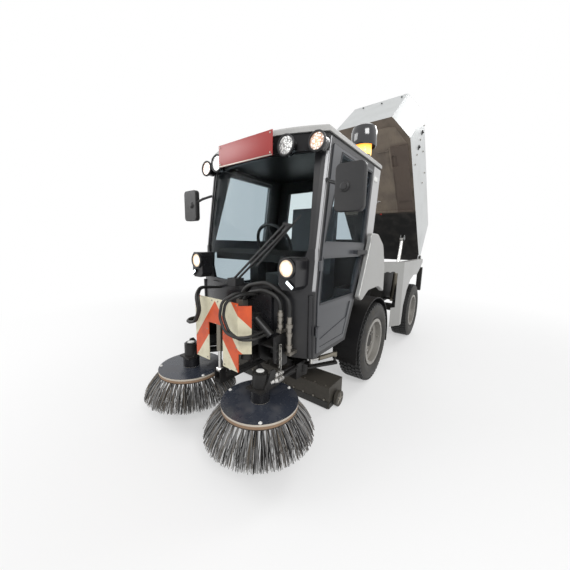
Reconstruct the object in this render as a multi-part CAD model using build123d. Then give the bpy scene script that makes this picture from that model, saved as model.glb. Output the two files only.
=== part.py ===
from build123d import *
import os
from math import cos, hypot, pi, radians, sin

# Compact articulated street sweeper with its dirt hopper tipped up.
# Millimetres. +Z up, -Y is the way it drives, +X is the vehicle's left side.
# Every y below counts from a datum plane at the foot of the cab's front pillars.
# The finished model is moved by origin_y so that the origin lies under the middle of its box.
origin_y = 1579.0

# Wheels
wheelbase = 1620.0
front_axle_y = 1063.0
tyre_radius = 372.0
tyre_width = 226.0
tread_width = 172.0
wheel_track_half = 503.0
rim_radius = 203.0
rim_width = 180.0
rim_flange_radius = 221.0
rim_wall = 9.0
tyre_skin = 15.0
hub_radius = 58.0
hub_face_x = 520.0
stud_circle = 102.5
stud_radius = 7.0
stud_count = 6
vent_radius = 13.0
vent_circle = 147.0
vent_count = 10
disc_dish = 14.0
hub_motor_radius = 96.0
axle_width = 100.0
axle_depth = 90.0
fit_gap = 0.3
pin_gap = 0.05

# Front and rear frames and the joint between them
rail_inner = 105.0
rail_outer = 180.0
rail_bottom = 430.0
rail_top = 530.0
front_rail_start = 120.0
rear_axle_y = front_axle_y + wheelbase
pivot_y = front_axle_y + wheelbase / 2
pivot_pin_radius = 32.0
fork_reach = 70.0
fork_plate = 24.0
rear_rail_start = pivot_y + 150.0
rear_overhang = 532.0
rear_frame_end = rear_axle_y + rear_overhang

# Cab shell
cab_half = 550.0
cab_floor = 545.0
cab_top = 1925.0
cab_wall = 28.0
cab_bow = 130.0
door_plane = 556.0
door_thickness = 34.0
door_gap = 5.0
glass_thickness = 5.0
roof_bottom = 1941.0
roof_top = 1980.0
header_bottom = 1838.0

# Side brushes
brush_x = 360.0
brush_y = -277.0
plate_radius = 235.0
plate_top = 340.0
plate_thickness = 10.0
block_thickness = 26.0
tip_radius = 338.0
tip_height = 135.0
arm_pivot_x = 330.0
arm_pivot_y = 232.0

# Hopper, drawn lowered and then tipped by tip_angle about its hinge
tip_angle = 50.0
hinge_y = rear_frame_end
hinge_z = 1098.0
hopper_half = 524.0
hopper_floor_z = 1120.0
hopper_top_z = 1865.0
hopper_length = 2168.0
hopper_rear_low_y = hinge_y + 75
hopper_rear_high_y = hinge_y - 85
hopper_front_y = hopper_rear_low_y - hopper_length
hopper_wall = 8.0
corner_cut_x = 172.0
corner_cut_y = 270.0

hinge_pin = 20.0
post_in = 531.0
post_out = 553.0

# Body behind the joint
body_half = 600.0
body_wall = 8.0
body_top = 1092.0
body_rear = rear_axle_y + 453
body_bend_y = rear_axle_y - 683
body_front_x = 400.0
body_front_y = rear_axle_y - 1030
jaw_low = 452.0
jaw_plate = 14.0
jaw_gap = 34.0
jaw_bore = 12.5
jaw_pin_y = 34.0
tail_lamp_heights = (680.0, 770.0, 860.0)
tail_lamp_radius = 20.0

nodes = {}


def side_plate(points, x_low, x_high):
    """A (y, z) outline made solid from x_low to x_high."""
    face = Plane.YZ.offset(x_low) * Polygon(*points, align=None)
    return extrude(face, amount=x_high - x_low, dir=(1, 0, 0))


def front_plate(points, y_low, y_high):
    """An (x, z) outline made solid from y_low to y_high."""
    face = Plane.XZ.offset(-y_high) * Polygon(*points, align=None)
    return extrude(face, amount=y_high - y_low, dir=(0, -1, 0))


def plan_plate(points, z_low, z_high):
    """An (x, y) outline made solid from z_low to z_high."""
    face = Plane.XY.offset(z_low) * Polygon(*points, align=None)
    return extrude(face, amount=z_high - z_low, dir=(0, 0, 1))


def block(x_low, x_high, y_low, y_high, z_low, z_high):
    size = (abs(x_high - x_low), abs(y_high - y_low), abs(z_high - z_low))
    middle = ((x_low + x_high) / 2, (y_low + y_high) / 2, (z_low + z_high) / 2)
    return Pos(*middle) * Box(*size)


def rod(start, end, radius):
    """A round bar between two points."""
    run = Vector(*end) - Vector(*start)
    return extrude(Plane(origin=start, z_dir=run) * Circle(radius), amount=run.length)


def bent_bar(points, radii, radius):
    """A round bar along straight runs joined by tangent arcs."""
    path = FilletPolyline(*points, radius=radii)
    return sweep(Plane(origin=path @ 0, z_dir=path % 0) * Circle(radius), path=path)


def mirrored(shape):
    """The shape's other hand, solid by solid."""
    copies = [mirror(solid, about=Plane.YZ) for solid in shape.solids()]
    return copies[0] if len(copies) == 1 else Compound(children=copies)


def both_sides(shape):
    return shape, mirrored(shape)


def pair(shape):
    """The left piece and its right copy as one node."""
    return Compound(children=[*shape.solids(), *mirrored(shape).solids()])


def turned(shape, x, y, z, axis, angle):
    """The shape turned by angle about an axis through a point."""
    line = Axis((x, y, z), axis)
    return shape.rotate(line, angle)


# Wheels

def tyre_profile():
    """Section of the tyre as (across, radius), one half drawn and then turned over."""
    half = tyre_width / 2
    bead = rim_width / 2
    tread = tread_width / 2
    shoulder = tyre_radius - 10
    side = rim_radius + 0.5 * (tyre_radius - rim_radius)
    outer = [
        (bead, rim_radius), (bead, rim_flange_radius + 0.5), (half, side), (tread + 12, shoulder - 12),
        (tread, shoulder), (tread / 2, tyre_radius),
    ]
    inner = [(tread - 6, shoulder - 24), (half - tyre_skin, side - 4), (bead - tyre_skin, rim_radius)]
    left = [(-across, radius) for across, radius in reversed(outer)]
    back = [(-across, radius) for across, radius in inner]
    return Polygon(*outer, *left, *reversed(back), *inner, align=None)


def wheel_plane(x, y):
    """Local X runs across the vehicle and local Y outwards from the axle."""
    return Plane(origin=(x, y, tyre_radius), x_dir=(1, 0, 0), z_dir=(0, -1, 0))


def spun(face, x, y):
    """A face drawn as (across, radius) turned round the axle."""
    placed = wheel_plane(x, y) * face
    return revolve(placed, axis=Axis((0, y, tyre_radius), (1, 0, 0)), revolution_arc=360)


def rim_solid(x, y, side):
    """Drop-centre rim with its disc, drawn for the left and turned for the right."""
    half = rim_width / 2
    lip = rim_flange_radius
    seat = rim_radius
    well = rim_radius - 26
    wall = rim_wall
    disc_in = hub_face_x + fit_gap - wheel_track_half
    disc_out = disc_in + wall
    ring_in = disc_in - disc_dish
    ring_out = ring_in + wall
    points = [
        (-half - wall, lip), (-half, lip), (-half, seat), (-half + 34, seat), (-half + 48, well),
        (half - 62, well), (half - 48, seat), (half, seat), (half, lip), (half + wall, lip),
        (half + wall, seat - wall), (half - 44, seat - wall), (half - 58, well - wall),
        (ring_out, well - wall), (ring_out, stud_circle + 28), (disc_out, stud_circle + 16),
        (disc_out, hub_radius + 2), (disc_in, hub_radius + 2), (disc_in, stud_circle + 14),
        (ring_in, stud_circle + 26), (ring_in, well - wall),
        (-half + 44, well - wall), (-half + 30, seat - wall), (-half - wall, seat - wall),
    ]
    flip = [(side * across, radius) for across, radius in points]
    rim = spun(Polygon(*flip, align=None), x, y)
    face_x = x + side * disc_in
    hole_rings = (
        # count, circle, radius
        (stud_count, stud_circle, stud_radius),
        (vent_count, vent_circle, vent_radius),
    )
    for count, circle, radius in hole_rings:
        for step in range(count):
            angle = 2 * pi * step / count
            hole_y = y + circle * cos(angle)
            hole_z = tyre_radius + circle * sin(angle)
            rim = rim - rod((face_x - side * 40, hole_y, hole_z), (face_x + side * 40, hole_y, hole_z), radius)
    return rim


def make_wheels():
    for end, y in (("front", front_axle_y), ("rear", front_axle_y + wheelbase)):
        for side_name, side in (("left", 1), ("right", -1)):
            x = side * wheel_track_half
            nodes[f"tyre_{end}_{side_name}"] = spun(tyre_profile(), x, y)
            nodes[f"rim_{end}_{side_name}"] = rim_solid(x, y, side)


def axle(y):
    """Beam with hub motors at its ends, seated under the frame rails."""
    z = tyre_radius
    motor_in = hub_face_x - 120
    half_y, half_z = axle_width / 2, axle_depth / 2
    beam = block(-motor_in, motor_in, y - half_y, y + half_y, z - half_z, z + half_z)
    for side in (1, -1):
        rail_middle = side * (rail_inner + rail_outer) / 2
        beam = beam + block(rail_middle - 34, rail_middle + 34, y - 60, y + 60, z, rail_bottom)
        beam = beam + rod((side * (motor_in - 10), y, z), (side * hub_face_x, y, z), hub_motor_radius)
        beam = beam + rod((side * motor_in, y, z), (side * (motor_in + 40), y, z), hub_motor_radius + 14)
        beam = beam + rod((side * hub_face_x, y, z), (side * (hub_face_x + 34), y, z), hub_radius)
    return beam


# Frames

def rails(y_low, y_high):
    left = block(rail_inner, rail_outer, y_low, y_high, rail_bottom, rail_top)
    return left + mirror(left, about=Plane.YZ)


def make_front_frame():
    frame = rails(front_rail_start, pivot_y - 220)
    for y in (150.0, 560.0, 1300.0):
        frame = frame + block(-rail_outer, rail_outer, y - 30, y + 30, rail_bottom, rail_top)
    tip = [
        (-rail_outer, pivot_y - 260), (rail_outer, pivot_y - 260),
        (fork_reach, pivot_y), (-fork_reach, pivot_y),
    ]
    for low, high in ((rail_bottom - fork_plate, rail_bottom), (rail_top, rail_top + fork_plate)):
        plate = plan_plate(tip, low, high)
        frame = frame + plate + rod((0, pivot_y, low), (0, pivot_y, high), fork_reach)
    frame = frame + block(-rail_outer, rail_outer, pivot_y - 260, pivot_y - 200, rail_bottom, rail_top)
    pin_low, pin_high = rail_bottom - fork_plate - 12, rail_top + fork_plate + 12
    frame = frame + rod((0, pivot_y, pin_low), (0, pivot_y, pin_high), pivot_pin_radius)
    # The cab stands on two cross bearers.
    for y in (250.0, 820.0):
        frame = frame + block(-330, 330, y - 30, y + 30, rail_top, cab_floor)
    # Brackets that carry the brush linkage, outside each rail.
    for side in (1, -1):
        ear = side_plate([(490, 350), (560, 350), (560, 470), (490, 470)], rail_outer - 12, rail_outer + 12)
        frame = frame + (ear if side == 1 else mirror(ear, about=Plane.YZ))
    nodes["front_frame"] = frame + axle(front_axle_y)


def make_rear_frame():
    frame = rails(rear_rail_start, rear_frame_end - 40)
    for y in (rear_rail_start + 30, rear_axle_y - 383, rear_axle_y + 317):
        frame = frame + block(-rail_outer, rail_outer, y - 30, y + 30, rail_bottom, rail_top)
    eye_low, eye_high = rail_bottom + 3, rail_top - 3
    eye = block(-60, 60, pivot_y, rear_rail_start + 10, eye_low, eye_high)
    frame = frame + eye + rod((0, pivot_y, eye_low), (0, pivot_y, eye_high), 60)
    frame = frame - rod((0, pivot_y, rail_bottom), (0, pivot_y, rail_top), pivot_pin_radius + pin_gap)
    # Outriggers hold the body sides, and posts at the tail carry the hopper's hinge.
    for y in (body_bend_y + 120, body_rear - 76):
        frame = frame + block(-body_half + body_wall, body_half - body_wall, y - 25, y + 25, 960, 1010)
        for side in (1, -1):
            x = side * (rail_inner + rail_outer) / 2
            frame = frame + block(x - 25, x + 25, y - 25, y + 25, rail_bottom, 1010)
    frame = frame + block(-post_out, post_out, rear_frame_end - 60, rear_frame_end, rail_bottom, rail_top)
    for side in (1, -1):
        low_y, high_y = rear_frame_end - 60, rear_frame_end
        outline = [
            (low_y, rail_bottom), (high_y, rail_bottom), (hinge_y + 38, hinge_z), (hinge_y - 38, hinge_z),
        ]
        post = side_plate(outline, post_in, post_out)
        post = post + rod((post_in, hinge_y, hinge_z), (post_out, hinge_y, hinge_z), 40)
        bore = rod((post_in - 1, hinge_y, hinge_z), (post_out + 1, hinge_y, hinge_z), hinge_pin + pin_gap)
        post = post - bore
        frame = frame + (post if side == 1 else mirror(post, about=Plane.YZ))
    # Drawbar jaw at the tail.
    for low in (jaw_low, jaw_low + jaw_gap + jaw_plate):
        plate = block(-45, 45, rear_frame_end - 10, rear_frame_end + jaw_pin_y + 28, low, low + jaw_plate)
        pin_y = rear_frame_end + jaw_pin_y
        frame = frame + (plate - rod((0, pin_y, low - 5), (0, pin_y, low + jaw_plate + 5), jaw_bore))
    # Lamp boxes fill the corners between the posts and the body sides.
    for side in (1, -1):
        box_end = rear_frame_end - 15
        lamp_box = block(side * (post_out - 1), side * body_half, body_rear + 6, box_end, 600, 960)
        for z in tail_lamp_heights:
            lens_x = side * (post_out + body_half) / 2
            lamp_box = lamp_box + rod((lens_x, box_end, z), (lens_x, box_end + 8, z), tail_lamp_radius)
        stay = block(side * (rail_outer - 1), side * post_in, box_end - 40, box_end - 5, 620, 650)
        knee = block(side * (rail_outer - 30), side * rail_outer, box_end - 40, box_end - 5, rail_top - 1, 650)
        frame = frame + lamp_box + stay + knee
    nodes["rear_frame"] = frame + axle(front_axle_y + wheelbase)


# Cab

cab_stations = (
    # height, y of the front corners
    (cab_floor, 18.0),
    (936.0, 6.0),
    (1250.0, 42.0),
    (cab_top, 136.0),
)
rear_wall_line = ((945.0, cab_floor), (945.0, 1262.0), (1048.0, cab_top))

door_outline = (
    # y, z of the door's edge, from the front foot upwards and round
    (46.0, 577.0),
    (36.0, 936.0),
    (72.0, 1250.0),
    (162.0, 1886.0),
    (852.0, 1886.0),
    (768.0, 1270.0),
    (640.0, 979.0),
    (448.0, 577.0),
)
wheel_notch = ((470.0, 500.0), (662.0, 905.0), (1100.0, 905.0), (1100.0, 500.0))
windscreen_outline = (
    (-468.0, 1832.0), (468.0, 1832.0), (488.0, 1260.0), (474.0, 1205.0), (330.0, 1008.0),
    (-330.0, 1008.0), (-474.0, 1205.0), (-488.0, 1260.0),
)
rear_window = ((-400.0, 1330.0), (400.0, 1330.0), (400.0, 1810.0), (-400.0, 1810.0))
notch_x = 372.0


def bow_sketch(y, outer, inner, half=cab_half, bow=cab_bow):
    """Plan of a bowed sheet whose faces lie outer and inner behind the cab's front line."""
    lines = [
        ThreePointArc((-half, y + outer), (0, y + outer - bow), (half, y + outer)),
        Line((half, y + outer), (half, y + inner)),
        ThreePointArc((half, y + inner), (0, y + inner - bow), (-half, y + inner)),
        Line((-half, y + inner), (-half, y + outer)),
    ]
    return make_face(Curve(lines))


def solid_sketch(y, outer, back, half=cab_half, bow=cab_bow):
    lines = [
        ThreePointArc((-half, y + outer), (0, y + outer - bow), (half, y + outer)),
        Line((half, y + outer), (half, back)),
        Line((half, back), (-half, back)),
        Line((-half, back), (-half, y + outer)),
    ]
    return make_face(Curve(lines))


def leaning(sketch_of, low, high):
    """A plan carried up the leaning line between two stations of the cab's front."""
    (z0, y0), (z1, y1) = low, high
    face = Plane.XY.offset(z0) * sketch_of(y0)
    return extrude(face, amount=hypot(z1 - z0, y1 - y0), dir=(0, y1 - y0, z1 - z0))


def front_skin(outer, inner, stations=cab_stations):
    skin = None
    for low, high in zip(stations, stations[1:]):
        piece = leaning(lambda y: bow_sketch(y, outer, inner), low, high)
        skin = piece if skin is None else skin + piece
    return skin


def cab_solid():
    """The space behind the cab's front, used to trim what is fixed to it."""
    space = None
    for low, high in zip(cab_stations, cab_stations[1:]):
        piece = leaning(lambda y: solid_sketch(y, 0, y + 420), low, high)
        space = piece if space is None else space + piece
    return space


def grown(points, amount):
    """An outline pushed outwards by amount."""
    return offset(Polygon(*points, align=None), amount=amount, kind=Kind.INTERSECTION)


def side_sketch(sketch, x_low, x_high):
    return extrude(Plane.YZ.offset(x_low) * sketch, amount=x_high - x_low, dir=(1, 0, 0))


def pillar_strip():
    """The bright strip that runs up each front pillar beside the glass."""
    (z0, y0), (z1, y1) = cab_stations[2:]
    rise = header_bottom - fit_gap - z0
    run = rise * (y1 - y0) / (z1 - z0)
    plan = [(508, y0 - 27), (546, y0 - 8), (546, y0 + 6), (508, y0 - 12)]
    face = Plane.XY.offset(z0) * Polygon(*plan, align=None)
    strip = extrude(face, amount=hypot(rise, run), dir=(0, run, rise))
    foot = plan_plate([(500, y0 - 34), (548, y0 - 12), (548, y0 + 6), (500, y0 - 12)], z0 - 70, z0 + 2)
    return strip + foot


def corner_bar():
    """The smooth upright bar on each lower front corner of the cab."""
    low, high = (560.0, 2.0), (968.0, -8.0)
    return rod((528, low[1], low[0]), (528, high[1], high[0]), 14)


def make_cab():
    (y0, z0), (y1, z1), (y2, z2) = rear_wall_line
    front_edge = [(y, z) for z, y in cab_stations]
    outline = [(front_edge[0][0] + 4, front_edge[0][1])] + [(y + 4, z) for y, z in front_edge[1:]]
    outline = outline + [(y2, z2), (y1, z1), (y0, z0)]
    side_wall = side_plate(outline, cab_half - cab_wall, cab_half)
    side_wall = side_wall - side_plate(wheel_notch, 300, 600)
    side_wall = side_wall - side_sketch(grown(door_outline, door_gap), 480, 600)
    rear_outline = [
        (y0, z0), (y1, z1), (y2, z2), (y2 - cab_wall, z2), (y1 - cab_wall, z1), (y0 - cab_wall, z0),
    ]
    rear_wall = side_plate(rear_outline, -cab_half + 1, cab_half - 1)
    notch_block = side_plate(wheel_notch, notch_x, 600)
    rear_wall = rear_wall - notch_block - mirror(notch_block, about=Plane.YZ)
    floor = block(-cab_half, cab_half, 60, y0, cab_floor, cab_floor + cab_wall)
    floor_front = Plane.XY.offset(cab_floor) * solid_sketch(cab_stations[0][1], 2, 61)
    floor = floor + extrude(floor_front, amount=cab_wall)
    notch_wall = side_sketch(grown(wheel_notch, 12), notch_x - 12, cab_half)
    notch_wall = notch_wall & block(0, cab_half, 0, y0 - 1, cab_floor, cab_top)
    notch_wall = notch_wall - notch_block
    shell = front_skin(0, cab_wall)
    shell = shell + floor - notch_block - mirror(notch_block, about=Plane.YZ)
    for part in both_sides(side_wall + notch_wall):
        shell = shell + part
    shell = shell + rear_wall
    screen_hole = front_plate(windscreen_outline, -300, 200)
    window_hole = front_plate(rear_window, 880, 1100)
    shell = shell - screen_hole - window_hole
    # The rear wall and its corner pillars are a panel of their own.
    split = [(900, 1990), (886, 1886), (800, 1270), (700, 1068), (700, 540), (1200, 540), (1200, 1990)]
    split = side_plate(split, -600, 600)
    cab_frame = shell - split
    for part in both_sides(pillar_strip() + corner_bar()):
        cab_frame = cab_frame + part
    nodes["cab_frame"] = cab_frame
    nodes["cab_rear_panel"] = shell & split
    glass = front_skin(6, 6 + glass_thickness, cab_stations[1:])
    screen = glass & screen_hole
    run = (y2 - y1) / (z2 - z1)
    bottom, top = rear_window[0][1], rear_window[2][1]
    pane = [(y1 + run * (z - z1), z) for z in (bottom, top)]
    pane = [(pane[0][0] - 8, bottom), (pane[1][0] - 8, top), (pane[1][0] - 13, top), (pane[0][0] - 13, bottom)]
    pane = side_plate(pane, rear_window[0][0], rear_window[1][0])
    nodes["cab_glass"] = Compound(children=[*screen.solids(), *pane.solids()])


def bowed(half, corner_y, mid_y, back_y, z_low, z_high):
    lines = [
        ThreePointArc((-half, corner_y), (0, mid_y), (half, corner_y)),
        Line((half, corner_y), (half, back_y)),
        Line((half, back_y), (-half, back_y)),
        Line((-half, back_y), (-half, corner_y)),
    ]
    face = Plane.XY.offset(z_low) * make_face(Curve(lines))
    return extrude(face, amount=z_high - z_low, dir=(0, 0, 1))


roof_lamp_places = (
    # x, y of the lens, radius, depth behind that y
    (326.0, 12.0, 55.0, 5.0),
    (515.0, 60.0, 50.0, 20.0),
)
lamp_z = 1867.0
beacon_x = 455.0
beacon_y = 860.0


def make_roof():
    roof = bowed(557, 102, -46, 1055, roof_bottom, roof_top)
    nodes["cab_roof"] = chamfer(roof.faces().sort_by(Axis.Z)[-1].edges(), 14)
    # The header is the black band that carries the roof lamps, and it stands on the cab's top edge.
    header = bowed(546, 112, -36, 1040, cab_top, roof_bottom)
    visor = bowed(546, 112, -36, 140, header_bottom, cab_top) - cab_solid()
    header = header + visor
    for x, y, radius, depth in roof_lamp_places:
        for side in (1, -1):
            end = (side * x, y + depth + fit_gap, lamp_z)
            header = header - rod((side * x, y - 140, lamp_z), end, radius + fit_gap)
    nodes["roof_header"] = header
    sign = bowed(252, -16, -50, 60, 1849, 1938) - bowed(546, 112, -36, 140, header_bottom, roof_bottom)
    nodes["roof_sign"] = sign
    base = rod((beacon_x, beacon_y, roof_top), (beacon_x, beacon_y, roof_top + 36), 62)
    nodes["beacon_lens"] = rod((beacon_x, beacon_y, roof_top + 36), (beacon_x, beacon_y, roof_top + 130), 66)
    low = roof_top + 130
    outline = [(0, low), (92, low), (92, low + 50), (80, low + 72), (55, low + 84), (0, low + 88)]
    place = Plane(origin=(beacon_x, beacon_y, 0), x_dir=(1, 0, 0), z_dir=(0, -1, 0))
    axis = Axis((beacon_x, beacon_y, 0), (0, 0, 1))
    cap = revolve(place * Polygon(*outline, align=None), axis=axis, revolution_arc=360)
    nodes["beacon_cap"] = Compound(children=[base, *cap.solids()])


pod_front_y = -142.0
nose_bottom = 700.0
nose_top = 990.0
nose_bow = (300.0, -110.0, -152.0)
mirror_y = 22.0
wiper_bars = (
    # start, end, radius
    ((-8.0, -162.0, 1025.0), (352.0, -50.0, 1400.0), 8.0),
    ((30.0, -162.0, 1025.0), (388.0, -44.0, 1392.0), 8.0),
    ((340.0, -52.0, 1402.0), (400.0, -42.0, 1388.0), 11.0),
    ((180.0, -122.0, 1130.0), (440.0, -12.0, 1452.0), 6.0),
    ((330.0, -60.0, 1330.0), (372.0, -48.0, 1398.0), 7.0),
)


door_window = ((282.0, 1858.0), (820.0, 1858.0), (741.0, 1300.0), (104.0, 1300.0))
door_low_window = ((92.0, 1192.0), (694.0, 1192.0), (576.0, 906.0), (70.0, 906.0))
door_panel_hollow = ((74.0, 850.0), (540.0, 850.0), (435.0, 610.0), (80.0, 610.0))
door_panel_wedge = ((78.0, 612.0), (434.0, 612.0), (488.0, 733.0), (78.0, 660.0))
hinge_x = door_plane + 12.0
hinge_line_y = 20.0


def make_doors():
    x_in = door_plane - door_thickness
    panel = side_plate(door_outline, x_in, door_plane)
    for outline in (door_window, door_low_window):
        panel = panel - side_plate(outline, x_in - 10, door_plane + 10)
    panel = panel - side_plate(door_panel_hollow, door_plane - 8, door_plane + 1)
    panel = panel + side_plate(door_panel_wedge, door_plane - 9, door_plane - 3)
    handle = block(door_plane + 22, door_plane + 34, 540, 738, 1212, 1240)
    for y in (546, 714):
        handle = handle + block(door_plane - 1, door_plane + 30, y, y + 18, 1214, 1238)
    panel = panel + handle
    # Two hinge knuckles stand outside the front edge.
    for z in (700.0, 1120.0):
        panel = panel + rod((hinge_x, hinge_line_y, z), (hinge_x, hinge_line_y, z + 60), 10)
        panel = panel + block(door_plane - 1, hinge_x, hinge_line_y, 60, z, z + 60)
    middle = (x_in + door_plane) / 2
    low, high = middle - glass_thickness / 2, middle + glass_thickness / 2
    glass = Compound(children=[side_plate(door_window, low, high), side_plate(door_low_window, low, high)])
    nodes["door_left"], nodes["door_right"] = both_sides(panel)
    nodes["door_glass_left"], nodes["door_glass_right"] = both_sides(glass)


def make_cab_inside():
    dash = side_plate([(40, 1150), (40, 1200), (90, 1235), (190, 1225), (200, 1150)], -430, 430)
    legs = block(-60, 20, 60, 150, cab_floor + cab_wall, 1160)
    column_top = (-20, 262, 1262)
    column = rod((-20, 120, 1195), column_top, 22)
    nodes["dashboard"] = dash + legs + column
    slope = Vector(*column_top) - Vector(-20, 120, 1195)
    plane = Plane(origin=Vector(*column_top) + slope.normalized() * fit_gap, z_dir=slope)
    ring_axis = Axis((0, 0, 34), (0, 0, 1))
    ring = revolve(Plane.XZ * (Pos(165, 34) * RegularPolygon(13, 8)), axis=ring_axis, revolution_arc=360)
    wheel = plane * ring
    hub = plane * (Pos(0, 0, 17) * Cylinder(34, 34))
    spokes = plane * (Pos(0, 0, 28) * Box(330, 26, 10))
    nodes["steering_wheel"] = wheel + hub + spokes
    base = block(-230, 230, 460, 900, cab_floor + cab_wall, 900)
    cushion = block(-240, 240, 430, 880, 900, 1010)
    back = side_plate([(800, 1000), (888, 1000), (908, 1620), (838, 1620)], -230, 230)
    nodes["seat"] = base + cushion + back


def pod_outline(side):
    corners = (
        (380, 1034), (408, 1005), (484, 1005), (504, 1030), (504, 1180), (484, 1200), (400, 1200), (380, 1180),
    )
    return [(side * x, z) for x, z in corners]


def make_cab_front():
    pods = []
    lamps = []
    for x, y, radius, depth in roof_lamp_places:
        for side in (1, -1):
            lamps.append(rod((side * x, y - 40, lamp_z), (side * x, y + depth, lamp_z), radius))
    for side in (1, -1):
        pod = front_plate(pod_outline(side), pod_front_y, 0) - cab_solid()
        pod = pod - rod((side * 442, pod_front_y - 20, 1136), (side * 442, -100, 1136), 52)
        pods = pods + pod.solids()
        lamps.append(rod((side * 442, pod_front_y - 8, 1136), (side * 442, -100 - fit_gap, 1136), 51.7))
        bar = Pos(side * 474, pod_front_y - 8, 1042) * Rot(0, side * 38, 0) * Box(58, 2 * (8 - fit_gap), 20)
        lamps.append(bar)
    nodes["lamps"] = Compound(children=lamps)
    panel = block(-300, 300, -170, 0, nose_bottom, nose_top) - cab_solid()
    panel = panel & bowed(*nose_bow, 0, nose_bottom, nose_top)
    nodes["nose_panel"] = Compound(children=[*panel.solids(), *pods])
    head = block(651, 822, mirror_y - 22, mirror_y + 22, 1460, 1716)
    head = chamfer(head.edges().filter_by(Axis.Y), 26)
    elbow = (600, 40, 1640)
    arm = rod((cab_half - 6, 96, 1668), elbow, 10) + rod(elbow, (700, mirror_y, 1600), 10)
    arm = (arm + block(588, 612, 28, 52, 1628, 1652)) - block(0, cab_half, -200, 1000, 0, 2000)
    nodes["mirrors"] = pair(head + arm)
    # The wiper: a motor on the nose, two parallel arms and the blade along the glass.
    motor = block(-30, 50, -190, -60, nose_top + fit_gap, nose_top + 50) - cab_solid()
    for start, end, radius in wiper_bars:
        motor = motor + rod(start, end, radius)
    nodes["wiper"] = motor


# Front gear

lift_pivot_y = 525.0
lift_pivot_z = 392.0
carrier_z = 358.0
carrier_half = 28.0
ring_height = 30.0
swing_eye = (405.0, 231.0)
swing_base = (488.0, 462.0)
swing_z = 419.0
ram_base = (-284.0, 806.0)
ram_eye = (-290.0, 418.0)
motor_seat = plate_top + 70
motor_top = plate_top + 175
motor_pipes = (
    # start and end as x and y from the brush's middle and height, radius
    ((36.0, 8.0, 448.0), (66.0, 84.0, 448.0), 12.0),
    ((34.0, 24.0, 482.0), (52.0, 96.0, 478.0), 11.0),
    ((66.0, 84.0, 448.0), (-8.0, 400.0, 396.0), 12.0),
    ((52.0, 96.0, 478.0), (-26.0, 400.0, 404.0), 11.0),
)


def hydraulic(
    start, end, pin, barrel_radius, rod_radius, barrel_length, rod_inner, eye_radius, eye_half, pin_radius
):
    """Barrel and rod between two pins that lie along the pin direction, as two solids."""
    start, end, pin = Vector(*start), Vector(*end), Vector(*pin).normalized()
    length = (end - start).length
    run = (end - start).normalized()

    def along(distance):
        return tuple(start + run * distance)

    def pin_bar(centre, radius, extra=0.0):
        return rod(tuple(centre - pin * (eye_half + extra)), tuple(centre + pin * (eye_half + extra)), radius)

    bore_extra = max(0.0, barrel_radius - eye_half) + 1

    barrel = pin_bar(start, eye_radius) + rod(along(eye_radius * 0.5), along(barrel_length), barrel_radius)
    barrel = barrel - pin_bar(start, pin_radius + pin_gap, bore_extra)
    barrel = barrel - rod(along(eye_radius + 5), along(barrel_length + 1), rod_radius + fit_gap)
    shaft = pin_bar(end, eye_radius) + rod(along(rod_inner), along(length - eye_radius * 0.5), rod_radius)
    return barrel, shaft


def make_carrier():
    """The cross bar on two trailing arms that hinge on the frame's brackets."""
    front_y = arm_pivot_y + 5
    low, high = carrier_z - carrier_half, carrier_z + carrier_half
    carrier = block(-arm_pivot_x, arm_pivot_x, front_y - 30, front_y + 30, low, high)
    base_x, base_y = swing_base
    for side in (1, -1):
        x_low, x_high = rail_outer + 13, rail_outer + 31
        outline = [
            (front_y, low + 6), (lift_pivot_y, lift_pivot_z - 24), (lift_pivot_y, lift_pivot_z + 24),
            (front_y, high),
        ]
        bar = side_plate(outline, x_low, x_high)
        bar = bar + rod((x_low, lift_pivot_y, lift_pivot_z), (x_high, lift_pivot_y, lift_pivot_z), 24)
        bore_start = (x_low - 1, lift_pivot_y, lift_pivot_z)
        bore_end = (x_high + 1, lift_pivot_y, lift_pivot_z)
        bar = bar - rod(bore_start, bore_end, 12 + pin_gap)
        carrier = carrier + (bar if side == 1 else mirror(bar, about=Plane.YZ))
        post = rod((side * arm_pivot_x, arm_pivot_y, low), (side * arm_pivot_x, arm_pivot_y, high), 44)
        pin = rod((side * arm_pivot_x, arm_pivot_y, low - 42), (side * arm_pivot_x, arm_pivot_y, high + 42), 16)
        wing = [
            (side * (arm_pivot_x + 20), front_y + 20), (side * (arm_pivot_x + 44), front_y - 6),
            (side * (base_x + 26), base_y), (side * base_x, base_y + 28), (side * (base_x - 26), base_y),
        ]
        wing_plate = plan_plate(wing, low + 8, low + 24)
        base_pin = rod((side * base_x, base_y, low + 8), (side * base_x, base_y, swing_z + 22), 10)
        carrier = carrier + post + pin + wing_plate + base_pin
        cheek = block(side * 23, side * 31, ram_eye[0] - 24, ram_eye[0] + 24, low + 4, ram_eye[1] + 14)
        carrier = carrier + cheek
    tongue = block(-31, 31, ram_eye[0] - 24, front_y, low + 4, low + 30)
    nodes["brush_carrier"] = carrier + tongue


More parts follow.
